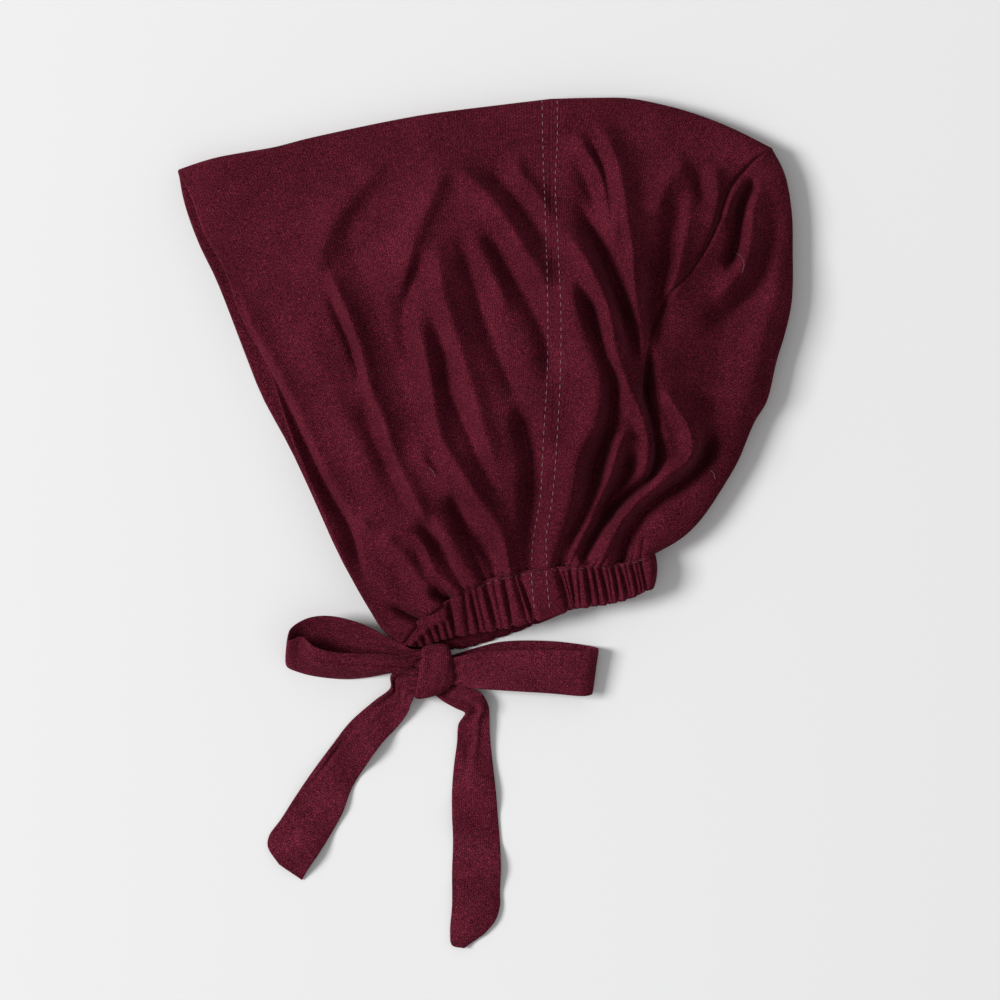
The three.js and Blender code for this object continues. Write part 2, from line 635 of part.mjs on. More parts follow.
const pieces = [
  ['front_panel', 'jersey', frontPanel()],
  ['crown_panel', 'jersey', crownPanel()],
  ['back_panel', 'jersey', backPanel()],
  ['nape_casing', 'jersey', napeCasing()],
  ['tie_knot', 'tie', knot()],
  ['tie_loop_left', 'tie', ribbon(leftLoopRows, leftLoopReach, leftAnchor, left, up, loopSteps)],
  ['tie_loop_right', 'tie', ribbon(rightLoopRows, rightLoopReach, rightAnchor, right, up, loopSteps)],
  ['tie_tail_left', 'tie', ribbon(leftTailRows, leftTailDrop, leftFoot, left, down, tailSteps)],
  ['tie_tail_right', 'tie', ribbon(rightTailRows, rightTailDrop, rightFoot, down, left, tailSteps)],
];

const cap = new THREE.Group();
for (const [name, colour, geometry] of pieces) {
  const material = new THREE.MeshStandardMaterial({ color: colours[colour], roughness: 0.9, metalness: 0 });
  const mesh = new THREE.Mesh(geometry, material);
  mesh.name = name;
  cap.add(mesh);
}

// The origin is the centre of the underside, on the table.
const extent = new THREE.Box3().setFromObject(cap);
const middle = extent.getCenter(new THREE.Vector3());
cap.position.set(-middle.x, -middle.y, -extent.min.z);

export default cap;
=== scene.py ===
import math
import random

import bmesh
import bpy
import numpy as np
from mathutils import Matrix, Vector


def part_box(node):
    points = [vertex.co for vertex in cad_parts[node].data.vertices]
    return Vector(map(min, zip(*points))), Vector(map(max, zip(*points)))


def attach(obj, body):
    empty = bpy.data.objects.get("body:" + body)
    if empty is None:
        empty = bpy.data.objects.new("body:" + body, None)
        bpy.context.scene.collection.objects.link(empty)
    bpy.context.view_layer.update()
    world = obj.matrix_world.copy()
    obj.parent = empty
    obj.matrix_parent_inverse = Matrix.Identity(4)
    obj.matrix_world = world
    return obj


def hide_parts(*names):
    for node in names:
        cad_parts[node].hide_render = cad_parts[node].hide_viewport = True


# A jersey underscarf cap lying on its side, seen from straight above, with its nape ties in a bow.
# Shapes are worked out in millimetres and written to the meshes in metres.
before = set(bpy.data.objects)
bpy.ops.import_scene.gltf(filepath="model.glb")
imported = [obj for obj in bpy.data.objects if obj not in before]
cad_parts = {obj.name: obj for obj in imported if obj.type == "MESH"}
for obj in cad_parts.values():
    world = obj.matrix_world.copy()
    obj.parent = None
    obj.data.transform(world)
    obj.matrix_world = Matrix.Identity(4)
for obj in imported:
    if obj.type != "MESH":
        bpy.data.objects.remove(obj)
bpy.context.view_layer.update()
millimetre = 0.001
rng = random.Random(11)
print("frame loaded:", len(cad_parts), "nodes")


# Where the photograph's points lie

photo = {
    "pixel": 0.4544,  # one pixel of the photograph on the table, in millimetres
    "knotPixel": (434.65, 674.06),  # the middle of the knot in the photograph
    "centrePixel": (500, 500),
    "width": 1000,
}
knotLow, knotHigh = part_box("tie_knot")
knotMiddle = (knotLow + knotHigh) / 2 / millimetre


def fromPhoto(points):
    points = np.asarray(points, float)
    right = knotMiddle.x + (points[:, 0] - photo["knotPixel"][0]) * photo["pixel"]
    up = knotMiddle.y + (photo["knotPixel"][1] - points[:, 1]) * photo["pixel"]
    return np.column_stack([right, up])


# Small helpers for lines and shares

def clamp01(value):
    return np.clip(value, 0, 1)


def smooth(value):
    share = clamp01(value)
    return share * share * (3 - 2 * share)


def mix(start, end, share):
    return start + (end - start) * share


def bell(position, width):
    return np.exp(-((position / width) ** 2))


def rounded(points, steps=12):
    # a centripetal Catmull-Rom line through the points, of any number of columns
    points = np.asarray(points, float)
    ends = np.vstack([2 * points[0] - points[1], points, 2 * points[-1] - points[-2]])
    gaps = np.linalg.norm(np.diff(ends[:, :2], axis=0), axis=1)
    knots = np.concatenate([[0], np.cumsum(np.sqrt(np.maximum(gaps, 1e-6)))])
    line = []
    for i in range(1, len(ends) - 2):
        t0, t1, t2, t3 = knots[i - 1:i + 3]
        t = np.linspace(t1, t2, steps, endpoint=False)[:, None]
        p0, p1, p2, p3 = ends[i - 1:i + 3]
        a1 = (t1 - t) / (t1 - t0) * p0 + (t - t0) / (t1 - t0) * p1
        a2 = (t2 - t) / (t2 - t1) * p1 + (t - t1) / (t2 - t1) * p2
        a3 = (t3 - t) / (t3 - t2) * p2 + (t - t2) / (t3 - t2) * p3
        b1 = (t2 - t) / (t2 - t0) * a1 + (t - t0) / (t2 - t0) * a2
        b2 = (t3 - t) / (t3 - t1) * a2 + (t - t1) / (t3 - t1) * a3
        line.append((t2 - t) / (t2 - t1) * b1 + (t - t1) / (t2 - t1) * b2)
    line.append(points[-1:])
    return np.vstack(line)


def runOf(line):
    # how far along the line each of its points lies
    return np.concatenate([[0], np.cumsum(np.linalg.norm(np.diff(line, axis=0), axis=1))])


def alongLine(line, share):
    run = runOf(line)
    where = np.asarray(share) * run[-1]
    return np.column_stack([np.interp(where, run, line[:, i]) for i in range(line.shape[1])])


def nearest(line, spots):
    # distance to a line, share along it, side of it (positive on its right) and its own direction there
    count = len(spots)
    best = np.full(count, np.inf)
    share = np.zeros(count)
    side = np.zeros(count)
    ahead = np.zeros((count, 2))
    run = runOf(line)
    for i in range(len(line) - 1):
        a, b = line[i], line[i + 1]
        leg = b - a
        long = float(leg @ leg)
        if long < 1e-12:
            continue
        t = clamp01(((spots - a) @ leg) / long)
        away = spots - (a + t[:, None] * leg)
        far = np.hypot(away[:, 0], away[:, 1])
        hit = far < best
        best[hit] = far[hit]
        share[hit] = (run[i] + t[hit] * math.sqrt(long)) / run[-1]
        side[hit] = np.sign(leg[1] * away[hit, 0] - leg[0] * away[hit, 1])
        ahead[hit] = leg / math.sqrt(long)
    return best, share, side, ahead


# The cap's outlines and seams, as points measured in the photograph

lines = {
    "crownFront": [(178, 171), (201, 163), (219, 158), (246, 153), (275, 148), (306, 140), (351, 130),
                   (395, 121), (429, 115), (500, 106), (550, 100)],
    "crownBack": [(550, 100), (590, 99), (629, 99.5), (667, 107), (695, 115), (731, 129), (771, 149)],
    "back": [(771, 149), (784, 175), (791, 213), (792, 251), (791, 302), (784, 335), (776, 361),
             (766, 402), (754, 422), (738, 460), (728, 478), (700, 520), (680, 539), (652, 555)],
    "faceNear": [(178, 171), (192, 198), (203, 229), (227, 275), (239, 310), (268, 368), (287, 424),
                 (299, 457), (320, 506), (344, 562), (371, 611), (385, 632), (402, 644)],
    "faceFar": [(178, 171), (185, 205), (199.5, 245), (216, 279), (246, 356), (262, 396), (290, 448),
                (312, 495), (341, 559), (370, 610), (385, 632), (402, 644)],
    "crownSeam": [(550, 100), (550, 160), (551, 240), (553, 340), (552, 417), (546, 497), (539, 540),
                  (537, 571)],
    "backSeam": [(771, 149), (750, 164), (726, 193), (710, 237), (690, 270), (670, 293), (653, 323),
                 (645, 350), (642, 385), (640, 430), (626, 490), (606, 567)],
    "casingFront": [(402, 644), (421, 621), (449, 602), (490, 581), (513, 575), (537, 571)],
    "casingMiddle": [(537, 571), (571, 568), (606, 567)],
    "casingBack": [(606, 567), (629, 564), (652, 555)],
}
lines = {name: rounded(fromPhoto(points)) for name, points in lines.items()}
foldLine = np.vstack([lines["crownFront"], lines["crownBack"][1:], lines["back"][1:]])
casingLine = np.vstack([lines["casingFront"], lines["casingMiddle"][1:], lines["casingBack"][1:]])

cap = {
    "loft": 37,  # top of the puffed near side over the table
    "foldRise": 7.6,  # height of the folded outline over the table
    "foldLift": 5,  # how far the cloth turns up at the outline
    "foldTurn": 10,  # width of that turn on the near side
    "tableTurn": 7,  # width of the turn down to the table
    "crownReach": 95,  # distances over which the puff fills
    "faceReach": 105,
    "casingReach": 48,
    "mouthShare": 0.12,  # share of the puff that reaches the face edge
    "cloth": 1.1,  # thickness of one layer
    "lip": 2.0,  # how far the cloth bulges over the casing's stitched line
    "lipReach": 22,
    "foldScale": 1.95,  # strength of all the folds
    "foldWidth": 1.12,  # scale of their widths
    "foldShape": 1.6,  # lower makes their crests and valleys sharper
    "foldSpan": 2.6,  # a fold is worked out this many widths to each side
    "foldFade": 15,  # folds die out this close to the outline
    "faceFade": 20,  # and grow weaker towards the face edge, as smooth(faceShare + distance / faceFade)
    "faceShare": 0.25,
    "heldAtCasing": 0.45,  # share of a gathered fold's height left at the casing
    "frontShift": 0.92,  # as the light comes from the left, a fold lies right of its lit or dark
    "backShift": 0.58,  # line in the photo, by this share of its width
    "faceShift": 1.5,  # most that a fold at the face edge is moved, in millimetres
}
casing = {
    "columns": 620,
    "around": 40,
    "thick": 4.8,  # at half its height
    "edge": 1.8,  # thickness at the lower edge
    "topEdge": 3.0,  # thickness at the stitched line
    "roundness": 0.6,  # lower makes the section boxier
    "fullness": 0.5,  # lower makes its edges squarer
    "turn": 5.5,  # radius of the turn at the back fold
    "turnEnd": 1.5,  # the outer creases go on to this angle of the turn
    "dip": 5.2,  # how far the face end sinks
    "dipStart": 0.45,  # share of the casing over which it sinks
    "tuck": 1.2,  # how far the casing reaches under the cloth
    "ribDepth": 4.6,  # depth of the creases
    "ribSpan": (0.16, 0.72),  # part of a half wave that shapes them up the casing
    "sharp": 0.85,  # widths of a crease's sharp line and of its soft slope
    "soft": 2.0,
    "sharpShare": 0.68,
    "endPast": 0.05,  # a short crease ends this far past its share of the height
    "endFade": 0.2,
    "least": 0.7,  # thickness that is left under a crease
    "nearScallop": 1.5,  # how far a crease draws the lower edge up
    "farScallop": 0.6,
    "farDepth": 0.1,  # share of the creases' depth on the far run
    "step": 0.004,  # share of the casing used to find its direction
    "flatRound": 44,  # once round the section, on the flat cloth
}
gather = {
    "depth": 3.2,  # depth between the gathers where they leave the casing
    "bulge": 1.0,  # how far the cloth rises beside the casing
    "bulgeReach": 5,
    "lean": 0.65,  # how far the gathers fan out to the back, behind the seam
    "leanReach": 25,
    "spread": 9,  # distance over which a gather's width doubles
    "fade": 8,  # gathers die out this close to the outline
    "groove": 0.9,  # depth and width of the groove at the stitched line
    "grooveWidth": 0.9,
    "grooveStart": 0.12,  # share of the casing where the groove begins, and where it has grown
    "grooveGrow": 0.25,
}


def fold(height, width, path, gathered=False, ends=0.2, atFace=False):
    # a fold of the near side; a pair of widths is for the photo's left and right of a path that runs down
    widths = width if isinstance(width, tuple) else (width, width)
    return {"height": height * cap["foldScale"], "widths": [one * cap["foldWidth"] for one in widths],
            "line": rounded(fromPhoto(path), 5), "gathered": gathered, "ends": ends, "atFace": atFace}


frontFolds = [
    # ridges of the front panel
    fold(2.1, (7, 5), [(375, 163), (345, 192), (325, 215), (312, 240), (305, 264), (303, 290)]),
    fold(3.4, (1.7, 4.5), [(322, 268), (331, 285), (343, 313), (355, 345), (366, 385), (380, 420),
         (388, 447), (398, 472), (410, 495), (425, 522), (441, 543), (453, 566), (466, 590)], True, 0.08),
    fold(2.8, (6, 4.5), [(442, 160), (424, 190), (411, 220), (402, 244), (393, 280), (382, 309)]),
    fold(2.8, (4, 5), [(436, 235), (430, 258), (432, 282), (438, 310), (448, 338), (456, 367), (466, 398),
         (474, 428), (483, 455), (492, 485)]),
    fold(3.0, (2.6, 4), [(411, 308), (414, 335), (421, 363), (426, 390), (431, 420), (439, 445), (452, 467),
         (466, 489), (482, 512), (496, 533), (502, 560), (505, 590)], True, 0.12),
    fold(2.8, (5, 4), [(438, 158), (455, 178), (476, 198), (491, 216), (504, 238), (516, 258), (529, 276),
         (541, 300)]),
    fold(1.6, 4, [(461, 236), (475, 262), (489, 290), (500, 318)]),
    fold(2.0, (4, 3), [(507, 150), (512, 178), (525, 193), (537, 212), (548, 226)], ends=0.3),
    fold(1.8, 7, [(283, 318), (298, 350), (318, 392), (338, 430), (355, 463), (371, 490)]),
    fold(1.5, 5, [(398, 440), (414, 460), (436, 480), (452, 496), (468, 510)]),
    fold(2.0, (2.5, 3), [(350, 520), (371, 533), (395, 533), (412, 538), (422, 552), (430, 572), (441, 582),
         (458, 594)], True, 0.1),
    fold(2.3, (4, 4), [(371, 534), (387, 548), (402, 563), (415, 580), (426, 597)], True, 0.15),
    fold(1.0, (5, 5), [(363, 556), (371, 574), (382, 592), (392, 606)], True, 0.4),
    # the crisp crease inside the face edge, with the hollow beside it
    fold(1.5, (1.2, 6), [(238, 290), (250, 322), (262, 347), (279, 379), (297, 413), (320, 461), (342, 503),
         (356, 523)], ends=0.15, atFace=True),
    fold(-3.6, (5, 1.3), [(246, 325), (257, 347), (270, 372), (289, 410), (311, 458), (333, 500),
         (345, 520), (353, 542), (359, 566), (368, 594)], ends=0.2, atFace=True),
    # valleys of the front panel
    fold(-1.5, 6, [(372, 178), (354, 205), (337, 237), (343, 264), (354, 286), (366, 318), (376, 348),
         (388, 380), (398, 408), (405, 434), (410, 452)], ends=0.15),
    fold(-1.8, 2.2, [(320, 284), (331, 310), (344, 338), (354, 366), (363, 392)], ends=0.3),
    fold(-1.6, 4.5, [(350, 396), (362, 432), (375, 462), (388, 492), (402, 515)]),
    fold(-2.6, 4.5, [(420, 250), (411, 262), (400, 292), (394, 316), (397, 346), (403, 372)]),
    fold(-2.0, 3, [(422, 300), (429, 328), (440, 358), (443, 388), (450, 408), (463, 435), (474, 461),
         (486, 485), (497, 505)]),
    fold(-2.8, 4.5, [(446, 230), (457, 260), (467, 295), (476, 327), (489, 360), (502, 388), (512, 416)]),
    fold(-2.8, 4.5, [(468, 222), (489, 252), (504, 281), (520, 309), (533, 335), (538, 360), (532, 395)]),
    fold(-2.4, 4, [(474, 168), (497, 188), (517, 215), (532, 238), (543, 262)]),
    fold(-4.6, (3, 7), [(508, 400), (514, 425), (520, 455), (522, 490), (520, 530), (521, 560), (522, 582)],
         True, 0.15),
    fold(-4.6, (4, 3), [(438, 490), (449, 508), (459, 527), (472, 543), (481, 558), (487, 580)], True, 0.2),
    fold(-4.6, (4, 2.4), [(413, 510), (426, 533), (440, 555), (451, 574), (462, 592)], True, 0.2),
    fold(-1.4, 4, [(400, 541), (409, 556), (418, 576), (430, 592)], True, 0.35),
    fold(-3.6, 1.8, [(424, 588), (436, 596), (448, 600), (458, 598)], ends=0.25),
    fold(-3.4, (1.8, 1.6), [(380, 603), (394, 609), (410, 616), (426, 623), (440, 630)], ends=0.35),
    fold(-1.6, 1.6, [(420, 458), (431, 465), (441, 478)], ends=0.4),
]
backFolds = [
    # ridges of the crown and back panels
    fold(3.8, (5, 4.5), [(548, 226), (562, 242), (578, 264), (590, 285), (600, 309), (606, 345), (614, 375),
         (624, 396), (637, 416), (645, 434), (642, 455), (636, 472), (626, 488)], ends=0.12),
    fold(2.6, (3.5, 3.5), [(564, 128), (576, 147), (589, 164), (599, 184), (605, 208), (609, 236),
         (613, 262)]),
    fold(3.2, (3, 5), [(590, 118), (602, 141), (612, 168), (618, 193), (621, 220), (625, 246), (627, 275),
         (630, 306), (635, 335), (640, 365), (643, 392)], ends=0.12),
    fold(2.2, 5, [(685, 166), (664, 177), (653, 198), (647, 222)]),
    fold(3.0, (4, 4), [(686, 190), (679, 222), (672, 257), (666, 284), (656, 313)]),
    fold(2.2, 3.5, [(703, 166), (710, 184), (709, 208), (702, 232)]),
    fold(2.2, 2.2, [(748, 178), (731, 194), (724, 210), (718, 232)], ends=0.3),
    fold(3.0, (4, 5), [(756, 182), (745, 215), (743, 243), (735, 270), (720, 288), (703, 305)]),
    fold(3.0, 8, [(779, 225), (771, 290), (754, 340), (749, 378), (741, 408), (733, 440), (716, 470)]),
    fold(4.6, (3.4, 5), [(648, 382), (665, 403), (681, 427), (686, 448), (680, 462), (660, 475), (641, 492),
         (622, 512), (609, 532), (597, 555)], True, 0.12),
    fold(3.4, (3, 3), [(628, 425), (614, 442), (608, 464), (600, 486), (591, 506), (579, 529), (568, 552)],
         True, 0.15),
    fold(3.8, (7, 5.5), [(556, 268), (564, 305), (576, 335), (588, 362), (592, 388), (588, 420), (573, 443),
         (564, 466), (561, 491), (554, 524), (547, 548)], True, 0.15),
    # valleys of the crown and back panels
    fold(-5.2, (3.4, 3.4), [(568, 190), (578, 215), (588, 236), (596, 254), (607, 285), (619, 314),
         (630, 352), (638, 385)], ends=0.32),
    fold(-2.0, 3.6, [(566, 152), (580, 182), (590, 211), (596, 240)], ends=0.45),
    fold(-2.0, 1.6, [(582, 138), (599, 171), (606, 198), (610, 236)], ends=0.25),
    fold(-4.6, 5.5, [(684, 195), (672, 218), (661, 247), (653, 276), (647, 306), (644, 335), (642, 362)],
         ends=0.2),
    fold(-1.6, 3.0, [(690, 166), (696, 190), (698, 214)], ends=0.45),
    fold(-4.0, (2.4, 2.4), [(751, 176), (742, 192), (735, 212), (734, 234), (730, 254), (720, 275)],
         ends=0.2),
    fold(-2.4, 5, [(771, 200), (766, 240), (753, 277), (729, 309), (702, 325), (684, 330)]),
    fold(-1.4, 6, [(655, 372), (690, 368), (730, 372)], ends=0.35),
    fold(-1.4, 5, [(678, 398), (698, 404), (716, 406)], ends=0.35),
    fold(-6.8, (2, 2.6), [(646, 345), (643, 372), (642, 398), (649, 425), (653, 455), (647, 478),
         (626, 494), (608, 512), (592, 532), (581, 556)], True, 0.1),
    fold(-5.8, (3.5, 3.5), [(697, 430), (703, 448), (694, 466), (679, 482), (656, 496), (632, 518),
         (620, 540), (617, 562)], True, 0.15),
    fold(-5.2, 3, [(622, 446), (624, 464), (614, 485), (602, 504), (590, 524)], ends=0.25),
    fold(-5.2, (4, 3.2), [(567, 276), (580, 305), (589, 333), (597, 357), (606, 380), (605, 408),
         (600, 441), (592, 464), (586, 489), (576, 516), (566, 540), (558, 568)], True, 0.15),
    fold(-1.3, 0.8, [(768, 151), (750, 164), (726, 193), (710, 237), (690, 270), (670, 293), (653, 323),
         (646, 347), (643, 372)], ends=0.05),
]
for group, shift in ((frontFolds, cap["frontShift"]), (backFolds, cap["backShift"])):
    for one in group:
        reach = shift * one["widths"][0]
        one["line"][:, 0] += min(reach, cap["faceShift"]) if one["atFace"] else reach
folds = frontFolds + backFolds

casingRun = runOf(casingLine)[-1]
casingQuarter = math.pi * casing["turn"] / 2
casingHalf = casingRun - casing["turn"] + casingQuarter
seamOnCasing = nearest(casingLine, fromPhoto([(540, 571)]))[1][0] * casingRun
edgeBehind = [(574, 610), (608, 605), (631, 599), (652, 589)]
casingNearEdge = rounded(fromPhoto([(421, 647), (435, 643), (457, 637), (500, 630), (543, 620),
                                    *edgeBehind]))
casingFarEdge = rounded(fromPhoto([(417, 650), (436, 650), (462, 649), (503, 637), (543, 622),
                                   *edgeBehind]))


def crease(top, low, depth, reach, upTo=1.0):
    # a crease of the casing from the stitch line to the lower edge, in photograph points; reach is how
    # far it runs on into the cloth and upTo the share of the casing's height that it takes
    ends = [nearest(line, fromPhoto([spot]))[1][0] * casingRun
            for line, spot in ((casingLine, top), (casingNearEdge, low))]
    return (*ends, depth, reach, upTo)


creases = [crease(*row) for row in [
    ((413, 634), (421, 645), 0.7, 0, 0.5), ((418, 622), (427, 642), 0.9, 0, 0.55),
    ((426, 616), (436, 641), 0.8, 0, 0.6), ((434, 611), (443, 640), 0.9, 0, 0.6),
    ((442, 606), (450, 637), 0.7, 0, 0.6), ((451, 601), (457, 635), 1.15, 12),
    ((465, 591), (470, 631), 0.7, 3), ((471, 588), (481, 631), 0.9, 4), ((477, 586), (487, 629), 0.6, 2),
    ((486, 583), (498, 628), 1.2, 20), ((495, 580), (503, 627), 0.5, 2), ((505, 579), (513, 625), 0.9, 4),
    ((519, 575), (535, 620), 1.3, 24), ((515, 577), (528, 621), 0.6, 3), ((558, 568), (570, 611), 1.25, 26),
    ((563, 568), (574, 610), 0.6, 6), ((570, 568), (576, 609), 0.9, 16), ((579, 567), (581, 608), 0.45, 5),
    ((586, 567), (592, 606), 1.0, 12), ((593, 567), (600, 606), 0.8, 16), ((600, 567), (609, 605), 1.0, 10),
    ((607, 567), (613, 604), 0.5, 7), ((613, 567), (619, 602), 1.0, 18), ((619, 567), (628, 599), 1.1, 9),
    ((625, 566), (632, 599), 0.6, 5), ((631, 565), (638, 596), 0.9, 12), ((636, 564), (642, 594), 0.7, 6),
    ((640, 562), (646, 592), 1.0, 14),
]]
creaseTops, creaseLows, creaseDepths, creaseReaches, creaseUpTo = np.array(creases).T


def creaseShape(distance):
    # a sharp line with a soft slope on both sides
    sharp = np.exp(-np.abs(distance) / casing["sharp"])
    return mix(bell(distance, casing["soft"]), sharp, casing["sharpShare"])


def sunkCasing(onward, v):
    # how deep the casing sinks between its ribs; the far run has the same ribs, mirrored
    along = np.minimum(onward, 2 * casingHalf - onward)[:, None]
    up = np.asarray(v)[:, None]
    deep = creaseDepths * creaseShape(along - mix(creaseLows, creaseTops, up))
    return (deep * smooth((creaseUpTo + casing["endPast"] - up) / casing["endFade"])).max(1)


def gatherRise(fromCasing, casingShare):
    # the casing's creases run on into the cloth and fan out to the back
    lean = gather["lean"] * smooth((casingShare * casingRun - seamOnCasing) / gather["leanReach"])
    along = casingShare * casingRun - lean * fromCasing
    width = 1 + fromCasing[:, None] / gather["spread"]
    deep = creaseDepths * creaseShape((along[:, None] - creaseTops) / width)
    fading = (creaseUpTo == 1) * np.exp(-fromCasing[:, None] / np.maximum(creaseReaches, 1))
    bulge = gather["bulge"] * np.exp(-fromCasing / gather["bulgeReach"])
    groove = gather["groove"] * bell(fromCasing, gather["grooveWidth"])
    groove *= smooth((casingShare - gather["grooveStart"]) / gather["grooveGrow"])
    return bulge - gather["depth"] * (deep * fading).max(1) - groove


def cushion(spots, inside):
    # the puffed near side without its folds
    fromCasing, casingShare, _, _ = nearest(casingLine, spots)
    fromFace = nearest(lines["faceNear"], spots)[0]
    faceShare = mix(cap["mouthShare"], 1, smooth(fromFace / cap["faceReach"]))
    shelf = cap["foldRise"] + cap["foldLift"]
    full = (cap["loft"] - shelf) * smooth(inside / cap["crownReach"]) * faceShare
    nearCasing = 1 - (1 - np.minimum(fromCasing / cap["casingReach"], 1)) ** 2
    sink = casing["dip"] * smooth(1 - casingShare / casing["dipStart"])
    sunk = sink * (1 - smooth(fromCasing / cap["casingReach"]))
    gathers = gatherRise(fromCasing, casingShare) * smooth(inside / gather["fade"])
    lip = cap["lip"] * np.exp(-fromCasing / cap["lipReach"])
    return full * nearCasing - sunk + lip + gathers, fromFace, nearCasing


def foldField(spots, inside, fromFace, nearCasing):
    # heights of all the folds over the plan spots
    rise, faceRise = np.zeros(len(spots)), np.zeros(len(spots))
    for one in folds:
        reach = max(one["widths"]) * cap["foldSpan"]
        low, high = one["line"].min(0) - reach, one["line"].max(0) + reach
        hit = ((spots >= low) & (spots <= high)).all(1)
        if not hit.any():
            continue
        distance, share, side, _ = nearest(one["line"], spots[hit])
        width = np.where(side > 0, one["widths"][0], one["widths"][1])
        body = np.exp(-((distance / width) ** cap["foldShape"])) * smooth(share / one["ends"])
        if one["gathered"]:
            body = body * mix(cap["heldAtCasing"], 1, nearCasing[hit])
        else:
            body = body * smooth((1 - share) / one["ends"])
        target = faceRise if one["atFace"] else rise
        target[hit] += one["height"] * body
    rise *= smooth(inside / cap["foldFade"]) * smooth(cap["faceShare"] + fromFace / cap["faceFade"])
    return rise + faceRise


def clothAt(spots, isNear):
    # places of the near or far layer's outer face over the given plan spots
    inside = nearest(foldLine, spots)[0]
    width = np.where(isNear, cap["foldTurn"], cap["tableTurn"])
    lift = np.where(isNear, cap["foldLift"], -cap["foldRise"])
    turned = np.sqrt(np.maximum(0, 1 - (1 - np.minimum(inside / width, 1)) ** 2))
    height = cap["foldRise"] + lift * turned
    puffed, fromFace, nearCasing = cushion(spots, inside)
    rise = foldField(spots, inside, fromFace, nearCasing)
    height = height + np.where(isNear, puffed + rise, 0)
    return np.column_stack([spots, height])


# Making meshes

def linked(name, data):
    piece = bpy.data.objects.new(name, data)
    bpy.context.scene.collection.objects.link(piece)
    return piece


def meshFrom(shape, name):
    mesh = bpy.data.meshes.new(name)
    shape.to_mesh(mesh)
    shape.free()
    return mesh


def smoothShade(piece):
    flags = np.ones(len(piece.data.polygons), dtype=bool)
    piece.data.polygons.foreach_set("use_smooth", flags)


def clothPiece(name, shape, place):
    # place(points) gives the new places of the shape's points and their coordinates on the flat cloth
    mesh = meshFrom(shape, name)
    raw = np.empty(len(mesh.vertices) * 3)
    mesh.vertices.foreach_get("co", raw)
    places, flat = place(raw.reshape(-1, 3))
    mesh.vertices.foreach_set("co", (places * millimetre).ravel())
    corners = np.empty(len(mesh.loops), dtype=np.int32)
    mesh.loops.foreach_get("vertex_index", corners)
    layer = mesh.uv_layers.new(name="cloth")
    layer.data.foreach_set("uv", (flat * millimetre)[corners].ravel())
    mesh.update()
    piece = linked(name, mesh)
    smoothShade(piece)
    return piece


def gridPiece(name, columns, rows, place):
    # a grid from an operator, whose points place(u, v) moves
    grid = bmesh.new()
    bmesh.ops.create_grid(grid, x_segments=columns, y_segments=rows, size=0.5)
    return clothPiece(name, grid, lambda points: place(*clamp01(points[:, :2] + 0.5).T))


def thicken(piece, thickness):
    wall = piece.modifiers.new("wall", "SOLIDIFY")
    wall.thickness = thickness * millimetre
    wall.offset = -1


def patch(rimStart, rimEnd, sideStart, sideEnd):
    # a Coons patch between four lines, each as points for the shares u or v
    def place(u, v):
        u1, v1 = u[:, None], v[:, None]
        top, bottom = alongLine(rimStart, u), alongLine(rimEnd, u)
        left, right = alongLine(sideStart, v), alongLine(sideEnd, v)
        spots = top * (1 - v1) + bottom * v1 + left * (1 - u1) + right * u1
        spots -= rimStart[0] * (1 - u1) * (1 - v1) + rimStart[-1] * u1 * (1 - v1)
        spots -= rimEnd[0] * (1 - u1) * v1 + rimEnd[-1] * u1 * v1
        return spots
    return place


hem = {
    "width": 16,  # cloth turned in along the face edge
    "roll": 1.25,  # radius of the turn
    "turnedShare": 0.07,  # share of the columns on the cloth turned in, and on the turn
    "rollShare": 0.035,
    "sideReach": 8,  # this close to the outline the cloth is turned in sideways
}
panelMesh = {
    "nearShare": 0.84,  # share of the rows on the near layer
    "crowding": 1.35,  # over 1 crowds the near and far rows at the outline
    "farCrowding": 1.6,
}


def fromOutline(v, look):
    # tells the near layer's rows from the far layer's and gives each row's share of the way inwards
    isNear = v <= look["nearShare"]
    near = np.abs(1 - v / look["nearShare"]) ** look["crowding"]
    far = np.abs((v - look["nearShare"]) / (1 - look["nearShare"])) ** look["farCrowding"]
    return isNear, np.where(isNear, near, far)


